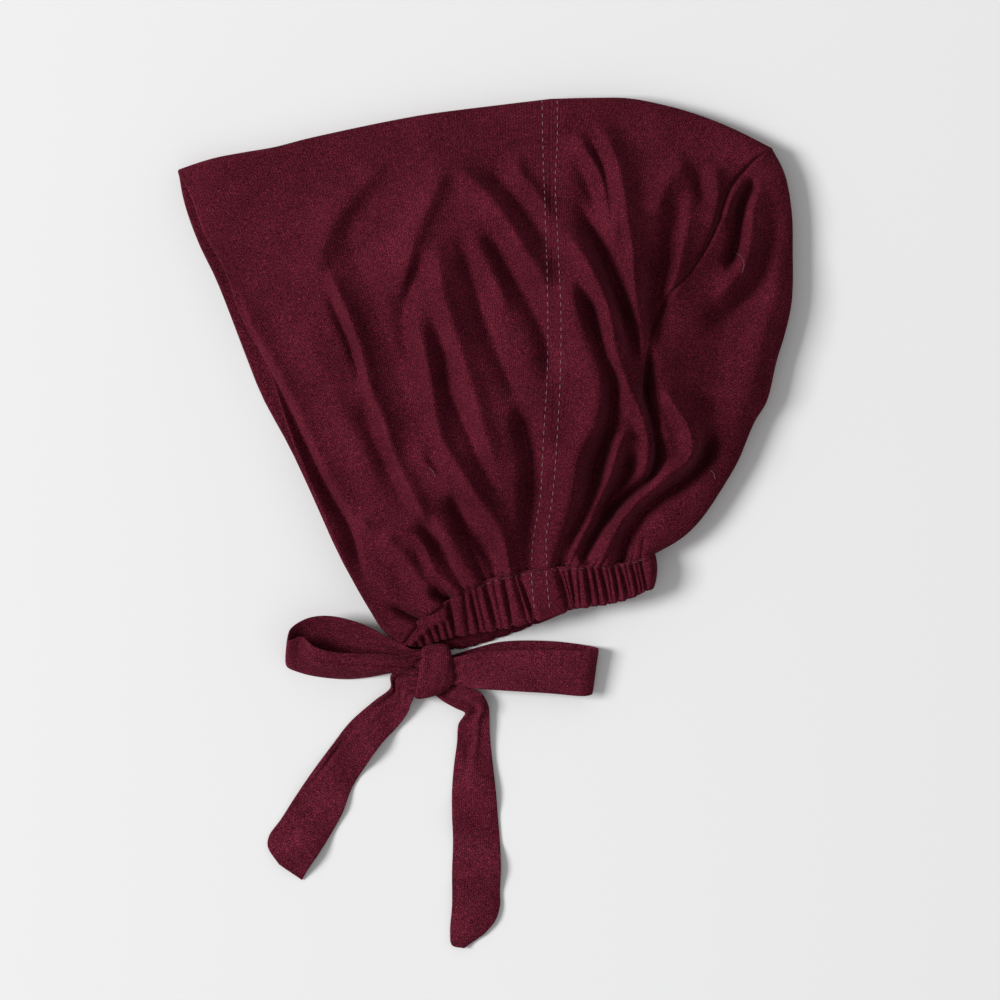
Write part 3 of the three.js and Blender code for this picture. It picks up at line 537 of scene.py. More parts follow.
def crownFoldPanel(name, top, bottom, near, far, columns, rows, hasHem):
    # v runs from the near casing over the crown to the far casing, u from the face towards the back
    nearPatch = patch(top, bottom, near[0], near[1])
    farPatch = patch(top, bottom, far[0], far[1])
    casingWidth = runOf(bottom)[-1]
    topWidth = runOf(top)[-1]
    drop = runOf(near[1])[-1]

    def place(u, v):
        isNear, down = fromOutline(v, panelMesh)
        rowWidth = mix(topWidth, casingWidth, down)
        if hasHem:
            turned, rolled = hem["turnedShare"], hem["turnedShare"] + hem["rollShare"]
            flatShare = np.maximum(0, (u - rolled) / (1 - rolled))
            angle = clamp01((u - turned) / (rolled - turned)) * math.pi
            inner = clamp01(1 - u / turned) * hem["width"]
            rollIn = hem["roll"] * (1 - np.sin(angle))
            edge = np.where(u < turned, inner + hem["roll"], np.where(u < rolled, rollIn, 0))
            offset = np.where(u < turned, 2 * hem["roll"], hem["roll"] * (1 + np.cos(angle)))
            offset = np.where(u < rolled, offset, 0)
            start = hem["roll"] / rowWidth
            across = np.where(u < rolled, edge / rowWidth, start + (1 - start) * flatShare)
        else:
            across = u
            offset = np.zeros(len(u))
        spots = np.where(isNear[:, None], nearPatch(across, down), farPatch(across, down))
        places = clothAt(spots, isNear)
        if hasHem:
            tucked = offset > 0
            inside, _, _, ahead = nearest(foldLine, spots[tucked])
            inward = np.column_stack([ahead[:, 1], -ahead[:, 0]])
            sideways = 1 - smooth(inside / hem["sideReach"])
            direction = np.where(isNear[tucked], -1.0, 1.0) * (1 - sideways)
            shift = np.column_stack([inward * sideways[:, None], direction])
            places[tucked] += shift * offset[tucked][:, None]
        flatPlace = np.column_stack([across * (topWidth + casingWidth) / 2,
                                     np.where(isNear, drop * (1 - down), drop * (1 + down))])
        return places, flatPlace

    piece = gridPiece(name, columns, rows, place)
    thicken(piece, cap["cloth"])
    return piece


print("making the panels")
frontPanel = crownFoldPanel(
    "front_panel_jersey", lines["crownFront"], lines["casingFront"],
    (lines["faceNear"], lines["crownSeam"]), (lines["faceFar"], lines["crownSeam"]),
    columns=240, rows=198, hasHem=True)
crownPanel = crownFoldPanel(
    "crown_panel_jersey", lines["crownBack"], lines["casingMiddle"],
    (lines["crownSeam"], lines["backSeam"]), (lines["crownSeam"], lines["backSeam"]),
    columns=125, rows=250, hasHem=False)
backMesh = {
    "columns": 210,
    "rows": 125,
    "nearShare": 0.8,
    "crowding": 1.25,
    "farCrowding": 1.6,
    "flatWidth": 62,  # from the back fold to one seam, on the flat cloth
}


def backPanelPiece():
    # u runs down the back, v from the near seam over the fold to the far seam
    outline, seam = lines["back"], lines["backSeam"]
    point = np.vstack([outline[0], seam[0] + 1e-4])
    sheetPatch = patch(outline, seam, point, lines["casingBack"][::-1])
    length = runOf(outline)[-1]

    def place(u, v):
        isNear, across = fromOutline(v, backMesh)
        places = clothAt(sheetPatch(u, across), isNear)
        flatAcross = np.where(isNear, across, -across) * backMesh["flatWidth"]
        return places, np.column_stack([flatAcross, u * length])

    piece = gridPiece("back_panel_jersey", backMesh["columns"], backMesh["rows"], place)
    thicken(piece, cap["cloth"])
    return piece


backPanel = backPanelPiece()
print("panels made")


# The gathered casing

def closeTube(piece):
    # joins the lengthwise seam of a grid bent round on itself and closes its two ends
    tube = bmesh.new()
    tube.from_mesh(piece.data)
    bmesh.ops.remove_doubles(tube, verts=tube.verts, dist=1e-6)
    edges = [edge for edge in tube.edges if edge.is_boundary]
    bmesh.ops.holes_fill(tube, edges=edges, sides=0)
    bmesh.ops.recalc_face_normals(tube, faces=tube.faces)
    tube.to_mesh(piece.data)
    tube.free()
    smoothShade(piece)


def aroundStrip(w, fullness):
    # once round a strip's section: the share across it, and the side from -1 on one face to 1 on the other
    turn = w * 2 * math.pi
    side = np.sign(np.sin(turn)) * np.abs(np.sin(turn)) ** fullness
    return 0.5 - 0.5 * np.cos(turn), np.where((w < 1e-6) | (w > 1 - 1e-6), 0, side)


def casingAt(u, v, side):
    # u runs along the near run, round the turn and back along the far run, v up from the lower edge and
    # side from -1 on the inner face to 1 on the outer face
    onward = u * 2 * casingHalf
    travel = np.abs(onward - casingHalf)
    isNear = u < 0.5
    direction = np.where(isNear, 1.0, -1.0)
    angle = np.minimum(travel / casing["turn"], math.pi / 2)
    back = np.where(travel < casingQuarter, casing["turn"] * (1 - np.cos(angle)),
                    casing["turn"] + travel - casingQuarter)
    share = clamp01(1 - back / casingRun)
    sunk = sunkCasing(onward, v)
    top = alongLine(casingLine, share)
    nearLow, farLow = alongLine(casingNearEdge, share), alongLine(casingFarEdge, share)
    low = np.where(isNear[:, None], nearLow, farLow)
    length = np.linalg.norm(top - low, axis=1)
    scallop = np.where(isNear, casing["nearScallop"], casing["farScallop"]) * sunk / length
    across = (v * (1 - scallop) + scallop) * (1 + casing["tuck"] / length)
    spot = low + (top - low) * across[:, None]
    step = casing["step"]
    ahead = alongLine(casingLine, clamp01(share + step)) - alongLine(casingLine, clamp01(share - step))
    ahead /= np.linalg.norm(ahead, axis=1)[:, None]
    edge = mix(casing["edge"], casing["topEdge"], v)
    middle = np.sin(math.pi * clamp01(v)) ** casing["roundness"]
    thick = mix(edge, casing["thick"], middle) / 2
    mouth = np.sin(math.pi * mix(*casing["ribSpan"], v)) ** casing["roundness"]
    depth = np.clip(casing["ribDepth"] * sunk * mouth, 0, np.maximum(2 * thick - casing["least"], 0))
    depth = depth * np.where(isNear | (angle < casing["turnEnd"]), 1, casing["farDepth"])
    offset = side * thick - clamp01(side) * depth
    settle = np.where(isNear, 0, (casing["thick"] / 2 - thick) * np.sin(angle))
    sink = casing["dip"] * smooth(1 - share / casing["dipStart"])
    height = cap["foldRise"] + direction * (casing["turn"] + offset) * np.sin(angle)
    height = height - settle - np.where(isNear, sink * np.sin(angle), 0)
    spot = spot + ahead * (offset * np.cos(angle))[:, None]
    return np.column_stack([spot, height])


def casingPiece():
    def place(u, w):
        v, side = aroundStrip(w, casing["fullness"])
        return casingAt(u, v, side), np.column_stack([u * 2 * casingHalf, w * casing["flatRound"]])

    piece = gridPiece("nape_casing_gathers", casing["columns"], casing["around"], place)
    closeTube(piece)
    return piece


casingGathers = casingPiece()
print("casing made")


# The ties

tie = {
    "thick": 1.5,
    "loopThick": 1.6,
    "fullness": 0.55,  # lower makes the strip's edges squarer
    "endTaper": 0.7,  # share of the thickness lost at a tail's end, over the reach below
    "taperReach": 1.2,
    "lowest": 0.05,  # least height of the faces over the table, and how much more at the edges
    "edgeRise": 0.25,
    "step": 0.006,  # share of the tie used to find its direction
}


def ribbonPiece(name, rows, steps, around, thick, relief, endTaper=0.0):
    # each row gives one edge and the other, as photograph points with their heights in millimetres
    rows = np.asarray(rows, float)
    edgeA = rounded(np.column_stack([fromPhoto(rows[:, 0:2]), rows[:, 2]]), 10)
    edgeB = rounded(np.column_stack([fromPhoto(rows[:, 3:5]), rows[:, 5]]), 10)
    middle = (edgeA + edgeB) / 2
    run = runOf(middle)
    index = np.arange(len(middle))

    def at(line, u):
        where = np.interp(clamp01(u) * run[-1], run, index)
        return np.column_stack([np.interp(where, index, line[:, i]) for i in range(3)])

    def place(u, w):
        share, side = aroundStrip(w, tie["fullness"])
        a, b = at(edgeA, u), at(edgeB, u)
        across = b - a
        width = np.linalg.norm(across, axis=1)
        ahead = at(middle, u + tie["step"]) - at(middle, u - tie["step"])
        facing = np.cross(ahead, across)
        facing /= np.maximum(np.linalg.norm(facing, axis=1), 1e-6)[:, None]
        lift = relief(u, share, u * run[-1], share * width)
        taper = 1 - endTaper * np.exp(-(1 - u) * run[-1] / tie["taperReach"])
        places = a + across * share[:, None] + facing * (side * thick / 2 * taper + lift)[:, None]
        lowest = tie["lowest"] + tie["edgeRise"] * (1 - np.abs(side))
        places[:, 2] = np.maximum(places[:, 2], lowest)
        return places, np.column_stack([share * width, u * run[-1]])

    piece = gridPiece(name, steps, around, place)
    closeTube(piece)
    return piece, run[-1]


loopLeftRows = [
    (425, 671, 4.0, 428, 655, 9.0), (411, 674, 2.4, 415, 656, 11.5),
    (396, 673, 1.6, 402, 655, 14.0), (366, 677, 0.9, 366, 654, 17.5),
    (345, 679, 0.9, 336, 652, 17.5), (322, 677.5, 0.9, 316, 646, 16.5), (302, 673, 0.9, 303, 636, 15.0),
    (287.5, 666, 0.9, 290, 640, 15.5), (289, 661, 0.8, 291, 629, 14.5), (303, 660, 0.8, 305, 619, 12.5),
    (328, 662, 0.8, 326, 615.5, 11.5), (358, 663, 0.8, 360, 622, 11.5), (388, 667, 1.0, 386, 635, 10.5),
    (411, 671, 1.6, 411, 648, 10.0), (425, 670, 4.0, 428, 650, 8.5),
]
loopRightRows = [
    (452, 655, 4.0, 453, 676, 4.0), (478, 647, 1.6, 478, 684, 1.6), (502, 641.5, 1.0, 502, 686, 1.0),
    (550, 641, 1.0, 550, 689, 1.0), (588, 645.5, 1.1, 582, 692, 1.1), (598, 648, 4.4, 591, 694, 3.6),
    (594, 649.5, 7.8, 585, 695.5, 6.6), (550, 649, 8.2, 550, 693, 7.0), (502, 650, 8.4, 502, 690, 7.4),
    (476, 652, 9.0, 476, 688, 8.0), (450, 658, 8.0, 450, 684, 7.0),
]
tailLeftRows = [
    (424, 667, 3.0, 426, 692, 4.0), (408, 667, 1.4, 417, 694, 4.6), (392, 674, 1.0, 413, 701, 3.8),
    (391, 687, 1.2, 409, 711, 2.2),
    (375, 700, 1.4, 399, 725, 1.2), (350, 722, 1.0, 383, 742, 1.0), (332, 745, 0.9, 367, 764, 0.9),
    (312, 772, 0.9, 352, 788, 0.9), (295, 797, 0.9, 343, 812, 0.9), (281, 819, 0.9, 331, 834, 0.9),
    (269, 836, 0.9, 318, 855, 0.9), (268, 847, 0.9, 309, 868, 0.9), (279, 864, 0.9, 302, 880, 0.9),
]
tailRightRows = [
    (430, 690, 3.0, 444, 684, 4.0), (441, 699, 3.2, 464, 686, 5.6), (455, 707, 3.0, 480, 692, 5.4),
    (465, 712.5, 2.6, 486, 699, 4.2), (463.5, 716, 2.2, 489, 707, 3.2), (458.5, 724, 1.8, 489.5, 716, 2.2),
    (457, 742, 1.2, 490, 736, 1.2), (454, 765, 0.9, 493, 765, 0.9),
    (452, 790, 0.9, 496, 792, 0.9), (452, 815, 0.9, 498, 818, 0.9), (453, 840, 0.9, 500, 843, 0.9),
    (452, 872, 0.9, 501, 868, 0.9), (452, 905, 0.9, 500, 890, 0.9), (450, 932, 0.9, 500, 906, 0.9),
    (452, 945, 0.9, 495, 921, 0.9), (464, 948, 0.9, 484, 934, 0.9),
]


# creases are rows of height, place across the tie and width; puckers are their height, waves across a
# millimetre and start; billows are height, length along the tie, turn across it and start
loopLeftLook = {
    "creases": [(0.5, 1.0, 1.0), (-2.3, 3.4, 1.1), (0.7, 5.8, 1.3), (-1.9, 9.0, 1.5)],
    "frontEnd": 0.42,  # share of the way round where the creased front ends
    "frontFade": 0.06,
    "pinch": 14,  # how far the puckers reach from the knot
    "puckers": (0.7, 1.5, 0.8),
    "billow": (0.25, 6.0, 3, 0),
}
loopRightLook = {"pinch": 9, "puckers": (0.8, 1.25, 0), "billow": (0.22, 7.0, 4, 0)}
tailLeftLook = {
    "layer": (0.9, 3.8, 0.8),  # the upper layer's height, place and width of its edge
    "creases": [(-1.3, 3.2, 0.8)],
    "creaseEnd": 76,  # where the layer and its crease have died out, and over what length
    "creaseFade": 24,
    "pinch": 12,
    "puckers": (0.9, 1.3, 0.5),
    "billow": (1.1, 8.5, 3.0, 0),
    "edgeBillow": (1.1, 4.7, -2.5, 1.0),
}
tailRightLook = {
    "creases": [(2.2, 9.0, 1.8), (-1.6, 5.6, 1.3)],
    "creasePlace": 26,  # where they are deepest along the tail, and how far they reach
    "creaseReach": 20,
    "pinch": 14,
    "puckers": (0.9, 1.2, 0),
    "billow": (0.8, 9.0, 3, 0),
    "secondBillow": (0.8, 5.1, -4, 0),
}
tailRise = 0.4              # keeps the billowing tails up off the table
floorGive = {"sink": 0.5, "soft": 0.12}


def creasesAt(rows, across):
    return sum(height * bell(across - place, width) for height, place, width in rows)


def puckersAt(row, across):
    height, waves, start = row
    return height * np.sin(across * waves + start)


def billowAt(row, run, share):
    height, length, turn, start = row
    return height * np.sin(run / length + share * turn + start)


def bothEnds(run, reach):
    return np.exp(-run / reach) + np.exp(-np.abs(run.max() - run) / reach)


def loopLeftRelief(u, share, run, across):
    look = loopLeftLook
    front = smooth((look["frontEnd"] - u) / look["frontFade"])
    fromTop = (1 - share) * across / np.maximum(share, 1e-3)
    puckers = puckersAt(look["puckers"], across) * bothEnds(run, look["pinch"])
    return creasesAt(look["creases"], fromTop) * front + puckers + billowAt(look["billow"], run, share)


def loopRightRelief(u, share, run, across):
    look = loopRightLook
    puckers = puckersAt(look["puckers"], across) * bothEnds(run, look["pinch"])
    return puckers + billowAt(look["billow"], run, share)


def onTable(look, run, across, creases, billow):
    # a lying tail sinks only so far that it still shows its thickness
    pinch = np.exp(-run / look["pinch"])
    lift = puckersAt(look["puckers"], across) * pinch + creases + (billow + tailRise) * (1 - pinch)
    over = lift + floorGive["sink"]
    return 0.5 * (over + np.sqrt(over ** 2 + floorGive["soft"])) - floorGive["sink"]


def tailLeftRelief(u, share, run, across):
    look = tailLeftLook
    height, place, width = look["layer"]
    creases = height * smooth((across - place) / width) + creasesAt(look["creases"], across)
    creases = creases * smooth((look["creaseEnd"] - run) / look["creaseFade"])
    billow = billowAt(look["billow"], run, share) + billowAt(look["edgeBillow"], run, share) * share
    return onTable(look, run, across, creases, billow)


def tailRightRelief(u, share, run, across):
    look = tailRightLook
    creases = creasesAt(look["creases"], across) * bell(run - look["creasePlace"], look["creaseReach"])
    billow = billowAt(look["billow"], run, share) + billowAt(look["secondBillow"], run, share)
    return onTable(look, run, across, creases, billow)


loopLeft, loopLeftLength = ribbonPiece("tie_loop_left_ribbon", loopLeftRows, 240, 100, tie["loopThick"],
                                       loopLeftRelief)
loopRight, loopRightLength = ribbonPiece("tie_loop_right_ribbon", loopRightRows, 260, 56, tie["thick"],
                                         loopRightRelief)
tailLeft, tailLeftLength = ribbonPiece("tie_tail_left_ribbon", tailLeftRows, 200, 90, tie["thick"],
                                       tailLeftRelief, tie["endTaper"])
tailRight, tailRightLength = ribbonPiece("tie_tail_right_ribbon", tailRightRows, 220, 90, tie["thick"],
                                         tailRightRelief, tie["endTaper"])

knot = {
    "height": 11.6,
    "lift": 0.05,  # over the table
    "middle": (435, 669),
    "square": 5.0,  # higher makes it boxier
    "stretch": 1.25,  # spreads its points along the outline
    "cuts": 31,
    "topFall": 0.34,  # shares of the height lost towards the crown, the ties' side and the right
    "lowFall": 0.30,
    "rightFall": 0.10,
    "edge": (0.5, 5.6, 0.25, 1.2),  # the wrap's edge: height, place, slant and width
    "wave": (0.3, 0.7, 0.25),  # the wrap's soft wave: height, waves a millimetre across and along
    "outline": [(422, 648), (420, 664), (417.5, 683), (415.5, 697.5), (431, 696.5), (444, 691),
                (452.5, 683), (454, 668), (451.5, 653), (448, 645), (435, 643.5)],
}


def knotPiece():
    power, half = knot["square"], knot["height"] / 2
    middle = fromPhoto([knot["middle"]])[0]
    rim = rounded(fromPhoto(knot["outline"] + knot["outline"][:3])) - middle
    rimTurn, rimReach = np.arctan2(rim[:, 1], rim[:, 0]), np.linalg.norm(rim, axis=1)
    order = np.argsort(rimTurn)

    def place(points):
        unit = points / ((np.abs(points) ** power).sum(1) ** (1 / power))[:, None]
        x, y, z = unit.T
        turn = np.arctan2(knot["stretch"] * y, x)
        reach = np.interp(turn, rimTurn[order], rimReach[order], period=2 * math.pi)
        reach *= (np.abs(x) ** power + np.abs(y) ** power) ** (1 / power)
        fall = knot["topFall"] * clamp01(y) ** 2 + knot["lowFall"] * clamp01(-y) ** 2
        bow = np.where(z > 0, 1 - fall - knot["rightFall"] * clamp01(x) ** 3, 1)
        right, up = reach * np.cos(turn), reach * np.sin(turn)
        height, edge, slant, width = knot["edge"]
        wave, across, along = knot["wave"]
        wrap = height * bell(right - edge - slant * up, width) + wave * np.sin(right * across - up * along)
        height = half * z * bow + wrap * clamp01(z)
        places = np.column_stack([right, up, height]) + [middle[0], middle[1], half + knot["lift"]]
        return places, places[:, :2]

    cube = bmesh.new()
    bmesh.ops.create_cube(cube, size=2)
    bmesh.ops.subdivide_edges(cube, edges=cube.edges, cuts=knot["cuts"], use_grid_fill=True)
    return clothPiece("tie_knot_wrap", cube, place)


knotWrap = knotPiece()
print("ties made")


# Stitches and lint

stitch = {
    "pitch": 3.75,
    "jitter": 0.12,  # each stitch is set off along the row by up to this
    "length": 2.4,
    "radius": 0.23,
    "lift": 0.14,
}
seamRoute = {"from": 0.36, "to": 0.97, "height": 0.93, "side": 0.75}  # the stitched line on the casing


def stitchRows(name, routes):
    joined = bmesh.new()
    for route in routes:
        run = runOf(route)
        count = int(run[-1] / stitch["pitch"])
        for i in range(count):
            middle = (i + 0.5) * stitch["pitch"] + rng.uniform(-stitch["jitter"], stitch["jitter"])
            ends = [middle - stitch["length"] / 2, middle + stitch["length"] / 2]
            a, b = [np.array([np.interp(e, run, route[:, k]) for k in range(3)]) for e in ends]
            centre = (a + b) / 2 + np.array([0, 0, stitch["lift"]])
            direction = Vector(b - a).normalized()
            turn = direction.to_track_quat("X", "Z").to_matrix().to_4x4()
            size = Matrix.Diagonal((stitch["length"] / 2, stitch["radius"], stitch["radius"], 1))
            place = Matrix.Translation(Vector(centre) * millimetre) @ turn
            bmesh.ops.create_uvsphere(joined, u_segments=6, v_segments=4, radius=1,
                                      matrix=place @ Matrix.Scale(millimetre, 4) @ size)
    piece = linked(name, meshFrom(joined, name))
    smoothShade(piece)
    return piece


def onCloth(points, count=260):
    # a line of the photograph laid on the near side
    spots = alongLine(rounded(fromPhoto(points)), np.linspace(0, 1, count))
    return clothAt(spots, np.full(count, True))


def casingU(share):
    # u of the near run at a share of the casing's line
    return share * casingRun / (2 * casingHalf)


def onCasing(points):
    # a line of the photograph laid on the near run of the casing
    spots = alongLine(rounded(fromPhoto(points)), np.linspace(0, 1, 60))
    share = np.linspace(0, 1, 600)
    low = alongLine(casingNearEdge, share)
    up = alongLine(casingLine, share) - low
    offset = spots[:, None] - low
    beside = np.abs(up[:, 0] * offset[..., 1] - up[:, 1] * offset[..., 0])
    best = np.argmin(beside / np.linalg.norm(up, axis=1), axis=1)
    v = clamp01((offset[np.arange(len(spots)), best] * up[best]).sum(1) / (up[best] ** 2).sum(1))
    outer = np.abs(np.sin(np.arccos(np.clip(1 - 2 * v, -1, 1)))) ** casing["fullness"]
    return casingAt(casingU(share[best]), v, outer)


rowLeft = [(542, 101), (543, 160), (545, 220), (547, 300), (547, 367), (543, 440), (540, 497), (533, 540),
           (531, 569)]
rowRight = [(557, 101), (557, 147), (555, 180), (557, 240), (560, 313), (560, 363), (557, 430),
            (552, 497), (546, 537), (547, 569)]
twinStitches = stitchRows("seam_twin_stitches", [
    onCloth(rowLeft), onCloth(rowRight),
    onCasing([(532, 573), (533, 590), (535, 612)]), onCasing([(547, 572), (548, 590), (550, 611)]),
])


def casingSeamRoute():
    share = np.linspace(seamRoute["from"], seamRoute["to"], 200)
    level = np.ones(len(share))
    return casingAt(casingU(share), seamRoute["height"] * level, seamRoute["side"] * level)


casingStitches = stitchRows("casing_stitches", [casingSeamRoute()])

lintLook = {"radius": 0.09, "lift": 0.35}
lintPaths = [
    [(733, 253), (739, 258), (742, 266), (740, 275)], [(430, 468), (434, 472), (436, 477)],
    [(709, 470), (713, 474), (714, 479)],
]


def lintPiece():
    curve = bpy.data.curves.new("lint_fibres", "CURVE")
    curve.dimensions = "3D"
    curve.bevel_depth = lintLook["radius"] * millimetre
    curve.bevel_resolution = 1
    for path in lintPaths:
        places = onCloth(path, 14)
        spline = curve.splines.new("POLY")
        spline.points.add(len(places) - 1)
        for point, place in zip(spline.points, places):
            point.co = (*(place * millimetre), 1)
            point.co.z += lintLook["lift"] * millimetre
    return linked("lint_fibres", curve)


lint = lintPiece()
print("stitches and lint made")


# Materials

def addNode(tree, kind, **settings):
    made = tree.nodes.new(kind)
    for name, value in settings.items():
        if name in made.inputs.keys():
            made.inputs[name].default_value = value
        else:
            setattr(made, name, value)
    return made


def mathNode(tree, operation, *values):
    made = addNode(tree, "ShaderNodeMath", operation=operation)
    for i, value in enumerate(values):
        if isinstance(value, (int, float)):
            made.inputs[i].default_value = value
        else:
            tree.links.new(value, made.inputs[i])
    return made.outputs[0]


def weighted(tree, parts):
    # the sum of each part times its weight
    terms = [mathNode(tree, "MULTIPLY", part, weight) for part, weight in parts]
    total = terms[0]
    for term in terms[1:]:
        total = mathNode(tree, "ADD", total, term)
    return total


knitLook = {
    "waleWander": 120.0,  # scale of the noise that bends the wales, and how far it bends them, in metres
    "drift": 0.0012,
    "courses": 0.0007,  # length of a row of loops, in metres
    "fine": 2200.0,  # scales of the heathered tone's noises and their weights
    "fineWeight": 0.9,
    "middle": 500.0,
    "middleWeight": 0.1,
    "broad": 45.0,
    "broadWeight": 0.14,
    "balance": 0.57,  # middle of the noises' sum, where the cloth keeps its own colour
    "waleTone": 0.02,
    "toneStops": 5.0,  # how many times a tone of one doubles the colour
    "roughness": (0.12, 0.8),  # how much of it follows the fine noise, and the rest
    "heights": (0.15, 0.1, 0.9, 0.5),  # weights of wales, courses, fine and middle noise
}


def knitGroup():
    # fine jersey: faint wales along the cloth, a heathered tone and the height of its loops
    tree = bpy.data.node_groups.new("jerseyKnit", "ShaderNodeTree")
    for name, kind, value in [("Base Color", "NodeSocketColor", (0.06, 0.01, 0.02, 1)),
                              ("Wale Pitch", "NodeSocketFloat", 0.0009),
                              ("Heather", "NodeSocketFloat", 0.3)]:
        socket = tree.interface.new_socket(name=name, in_out="INPUT", socket_type=kind)
        socket.default_value = value
    for name, kind in [("Color", "NodeSocketColor"), ("Roughness", "NodeSocketFloat"),
                       ("Height", "NodeSocketFloat")]:
        tree.interface.new_socket(name=name, in_out="OUTPUT", socket_type=kind)
    given = addNode(tree, "NodeGroupInput").outputs
    out = addNode(tree, "NodeGroupOutput").inputs
    cloth = addNode(tree, "ShaderNodeUVMap", uv_map="cloth")
    split = addNode(tree, "ShaderNodeSeparateXYZ")
    tree.links.new(cloth.outputs[0], split.inputs[0])
    place = addNode(tree, "ShaderNodeTexCoord")

    def noise(scale, detail, **more):
        made = addNode(tree, "ShaderNodeTexNoise", Scale=scale, Detail=detail, **more)
        tree.links.new(place.outputs["Object"], made.inputs["Vector"])
        return made.outputs["Fac"]

    def work(operation, *values):
        return mathNode(tree, operation, *values)

    drift = work("MULTIPLY", noise(knitLook["waleWander"], 2.0), knitLook["drift"])
    phase = work("DIVIDE", work("ADD", split.outputs[0], drift), given["Wale Pitch"])
    wave = work("SINE", work("MULTIPLY", phase, 2 * math.pi))
    courses = work("SINE", work("MULTIPLY", split.outputs[1], 2 * math.pi / knitLook["courses"]))
    fine = noise(knitLook["fine"], 2.0, Roughness=0.6)
    middle = noise(knitLook["middle"], 3.0, Roughness=0.6)
    broad = noise(knitLook["broad"], 2.0)
    tone = weighted(tree, [(fine, knitLook["fineWeight"]), (middle, knitLook["middleWeight"]),
                           (broad, knitLook["broadWeight"])])
    tone = work("SUBTRACT", tone, knitLook["balance"])
    tone = work("ADD", tone, work("MULTIPLY", wave, knitLook["waleTone"]))
    tone = work("MULTIPLY", tone, given["Heather"])
    factor = work("POWER", 2.0, work("MULTIPLY", tone, knitLook["toneStops"]))
    scaled = addNode(tree, "ShaderNodeVectorMath", operation="SCALE")
    tree.links.new(given["Base Color"], scaled.inputs[0])
    tree.links.new(factor, scaled.inputs["Scale"])
    tree.links.new(scaled.outputs[0], out["Color"])
    gain, least = knitLook["roughness"]
    tree.links.new(work("ADD", work("MULTIPLY", fine, gain), least), out["Roughness"])
    height = weighted(tree, zip((wave, courses, fine, middle), knitLook["heights"]))
    tree.links.new(height, out["Height"])
    return tree


knit = knitGroup()


def newMaterial(name):
    material = bpy.data.materials.new(name)
    material.use_nodes = True
    return material, material.node_tree, material.node_tree.nodes["Principled BSDF"]


jerseyLook = {
    "heather": 1.95,  # strength of the tone
    "bump": 0.00022,  # height of the knit, in metres
    "specular": 0.01,
    "sheen": 0.18,
    "sheenRoughness": 0.25,
    "sheenTint": (0.9, 0.32, 0.42, 1),
    "panelColor": (0.0715, 0.0082, 0.0161),
    # the ties are the same jersey as the panels; their colour is painted lighter, as painted light on the
    # flat-lying ties
    "litTieColor": (0.086, 0.0104, 0.0206),
}


def jerseyMaterial(name, baseColor):
    material, tree, shader = newMaterial(name)
    cloth = addNode(tree, "ShaderNodeGroup")
    cloth.node_tree = knit
    cloth.inputs["Base Color"].default_value = (*baseColor, 1)
    cloth.inputs["Heather"].default_value = jerseyLook["heather"]
    tree.links.new(cloth.outputs["Color"], shader.inputs["Base Color"])
    tree.links.new(cloth.outputs["Roughness"], shader.inputs["Roughness"])
    bumpNode = addNode(tree, "ShaderNodeBump", Strength=1.0, Distance=jerseyLook["bump"])
    tree.links.new(cloth.outputs["Height"], bumpNode.inputs["Height"])
    tree.links.new(bumpNode.outputs[0], shader.inputs["Normal"])
    shader.inputs["Specular IOR Level"].default_value = jerseyLook["specular"]
    shader.inputs["Sheen Weight"].default_value = jerseyLook["sheen"]
    shader.inputs["Sheen Roughness"].default_value = jerseyLook["sheenRoughness"]
    shader.inputs["Sheen Tint"].default_value = jerseyLook["sheenTint"]
    return material


threadLook = {"noise": 2500.0, "dark": 0.7, "light": 1.3, "roughness": 0.7}


def threadMaterial(name, color):
    material, tree, shader = newMaterial(name)
    place = addNode(tree, "ShaderNodeTexCoord")
    noise = addNode(tree, "ShaderNodeTexNoise", Scale=threadLook["noise"], Detail=1.0)
    ramp = addNode(tree, "ShaderNodeValToRGB")
    ramp.color_ramp.elements[0].color = (*[c * threadLook["dark"] for c in color], 1)
    ramp.color_ramp.elements[1].color = (*[c * threadLook["light"] for c in color], 1)
    tree.links.new(place.outputs["Object"], noise.inputs["Vector"])
    tree.links.new(noise.outputs["Fac"], ramp.inputs[0])
    tree.links.new(ramp.outputs[0], shader.inputs["Base Color"])
    shader.inputs["Roughness"].default_value = threadLook["roughness"]
    return material


jersey = jerseyMaterial("burgundyJersey", jerseyLook["panelColor"])
casingJersey = jerseyMaterial("burgundyJerseyGathered", jerseyLook["panelColor"])
# a lit copy of the panels' jersey: the ties' cloth with painted light in its base colour
litTieJersey = jerseyMaterial("burgundyJerseyTiePaintedLight", jerseyLook["litTieColor"])
thread = threadMaterial("mauveThread", (0.22, 0.10, 0.125))
casingThread = threadMaterial("burgundyThread", (0.11, 0.03, 0.045))
lintMaterial = threadMaterial("paleLint", (0.2, 0.085, 0.10))

for piece in (frontPanel, crownPanel, backPanel):
    piece.data.materials.append(jersey)
casingGathers.data.materials.append(casingJersey)
for piece in (loopLeft, loopRight, tailLeft, tailRight, knotWrap):
    piece.data.materials.append(litTieJersey)
twinStitches.data.materials.append(thread)
casingStitches.data.materials.append(casingThread)
lint.data.materials.append(lintMaterial)
print("materials made")


# What each piece stands for, its sheet's flat size in metres and its area in square metres

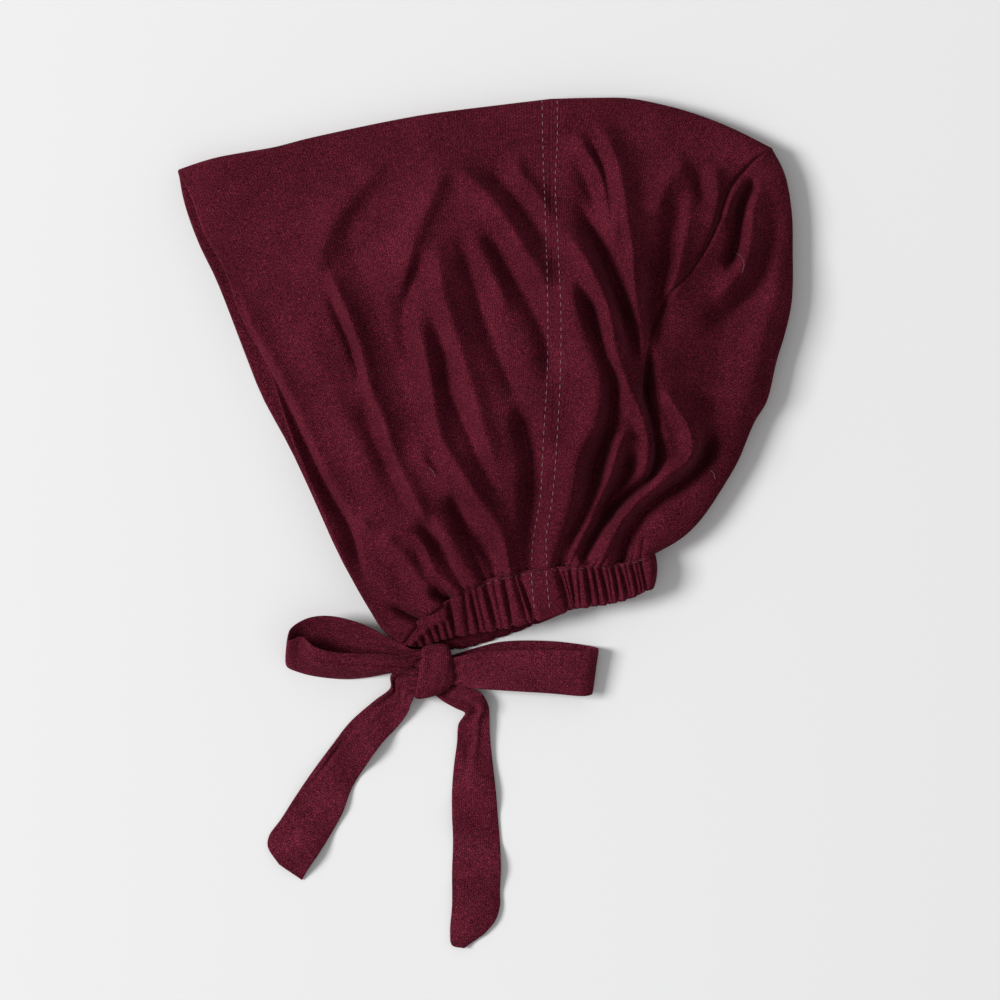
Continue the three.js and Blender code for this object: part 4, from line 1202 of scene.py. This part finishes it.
pieces = [
    (frontPanel, "front_panel", "jersey", "gathered", (0.19, 0.50), 0.075),
    (crownPanel, "crown_panel", "jersey", "gathered", (0.11, 0.46), 0.034),
    (backPanel, "back_panel", "jersey", "gathered", (0.14, 0.20), 0.021),
    (casingGathers, "nape_casing", "casing", "gathered", (0.021, 0.25), None),
    (knotWrap, "tie_knot", "ties", None, None, None),
    (loopLeft, "tie_loop_left", "ties", "folded", (0.022, loopLeftLength * millimetre), None),
    (loopRight, "tie_loop_right", "ties", "folded", (0.022, loopRightLength * millimetre), None),
    (tailLeft, "tie_tail_left", "ties", "laid", (0.022, tailLeftLength * millimetre), None),
    (tailRight, "tie_tail_right", "ties", "laid", (0.022, tailRightLength * millimetre), None),
]
for piece, node, slotName, held, flat, area in pieces:
    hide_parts(node)
    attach(piece, "root")
for piece in (twinStitches, casingStitches, lint):
    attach(piece, "root")


# Floor, light and camera

studio = {
    "floorSize": 5.0,
    "floorHeight": -0.0003,
    "floorColor": (0.87, 0.87, 0.872, 1),
    "worldStrength": 0.39,
    "keyPlace": (-5.8, 0.3, 4.5),
    "keySize": 2.6,
    "keyPower": 525.0,
    "cameraLens": 200,
}


def floorPiece():
    slab = bmesh.new()
    bmesh.ops.create_grid(slab, x_segments=1, y_segments=1, size=studio["floorSize"] / 2)
    mesh = meshFrom(slab, "studio_floor")
    for vertex in mesh.vertices:
        vertex.co.z = studio["floorHeight"]
    piece = linked("studio_floor", mesh)
    material, _, shader = newMaterial("paleFloor")
    shader.inputs["Base Color"].default_value = studio["floorColor"]
    shader.inputs["Roughness"].default_value = 0.9
    shader.inputs["Specular IOR Level"].default_value = 0.1
    mesh.materials.append(material)


floorPiece()
centre = fromPhoto([photo["centrePixel"]])[0] * millimetre


def areaLight(name, place, target, size, power):
    lamp = bpy.data.lights.new(name, "AREA")
    lamp.shape = "SQUARE"
    lamp.size = size
    lamp.energy = power
    holder = linked(name, lamp)
    holder.location = place
    holder.rotation_euler = (Vector(target) - Vector(place)).to_track_quat("-Z", "Y").to_euler()


areaLight("key_light", studio["keyPlace"], (centre[0], centre[1], 0), studio["keySize"],
          studio["keyPower"])
world = bpy.data.worlds.new("studio")
world.use_nodes = True
world.node_tree.nodes["Background"].inputs["Color"].default_value = (1, 1, 1, 1)
world.node_tree.nodes["Background"].inputs["Strength"].default_value = studio["worldStrength"]
bpy.context.scene.world = world
bpy.context.scene.view_settings.view_transform = "Standard"

camera = bpy.data.cameras.new("camera")
camera.lens = studio["cameraLens"]
camera.sensor_width = 36
camera.clip_end = 20
frameWidth = photo["width"] * photo["pixel"] * millimetre
cameraObject = linked("camera", camera)
cameraObject.location = (centre[0], centre[1], frameWidth * camera.lens / camera.sensor_width)
bpy.context.scene.camera = cameraObject
print("studio made")
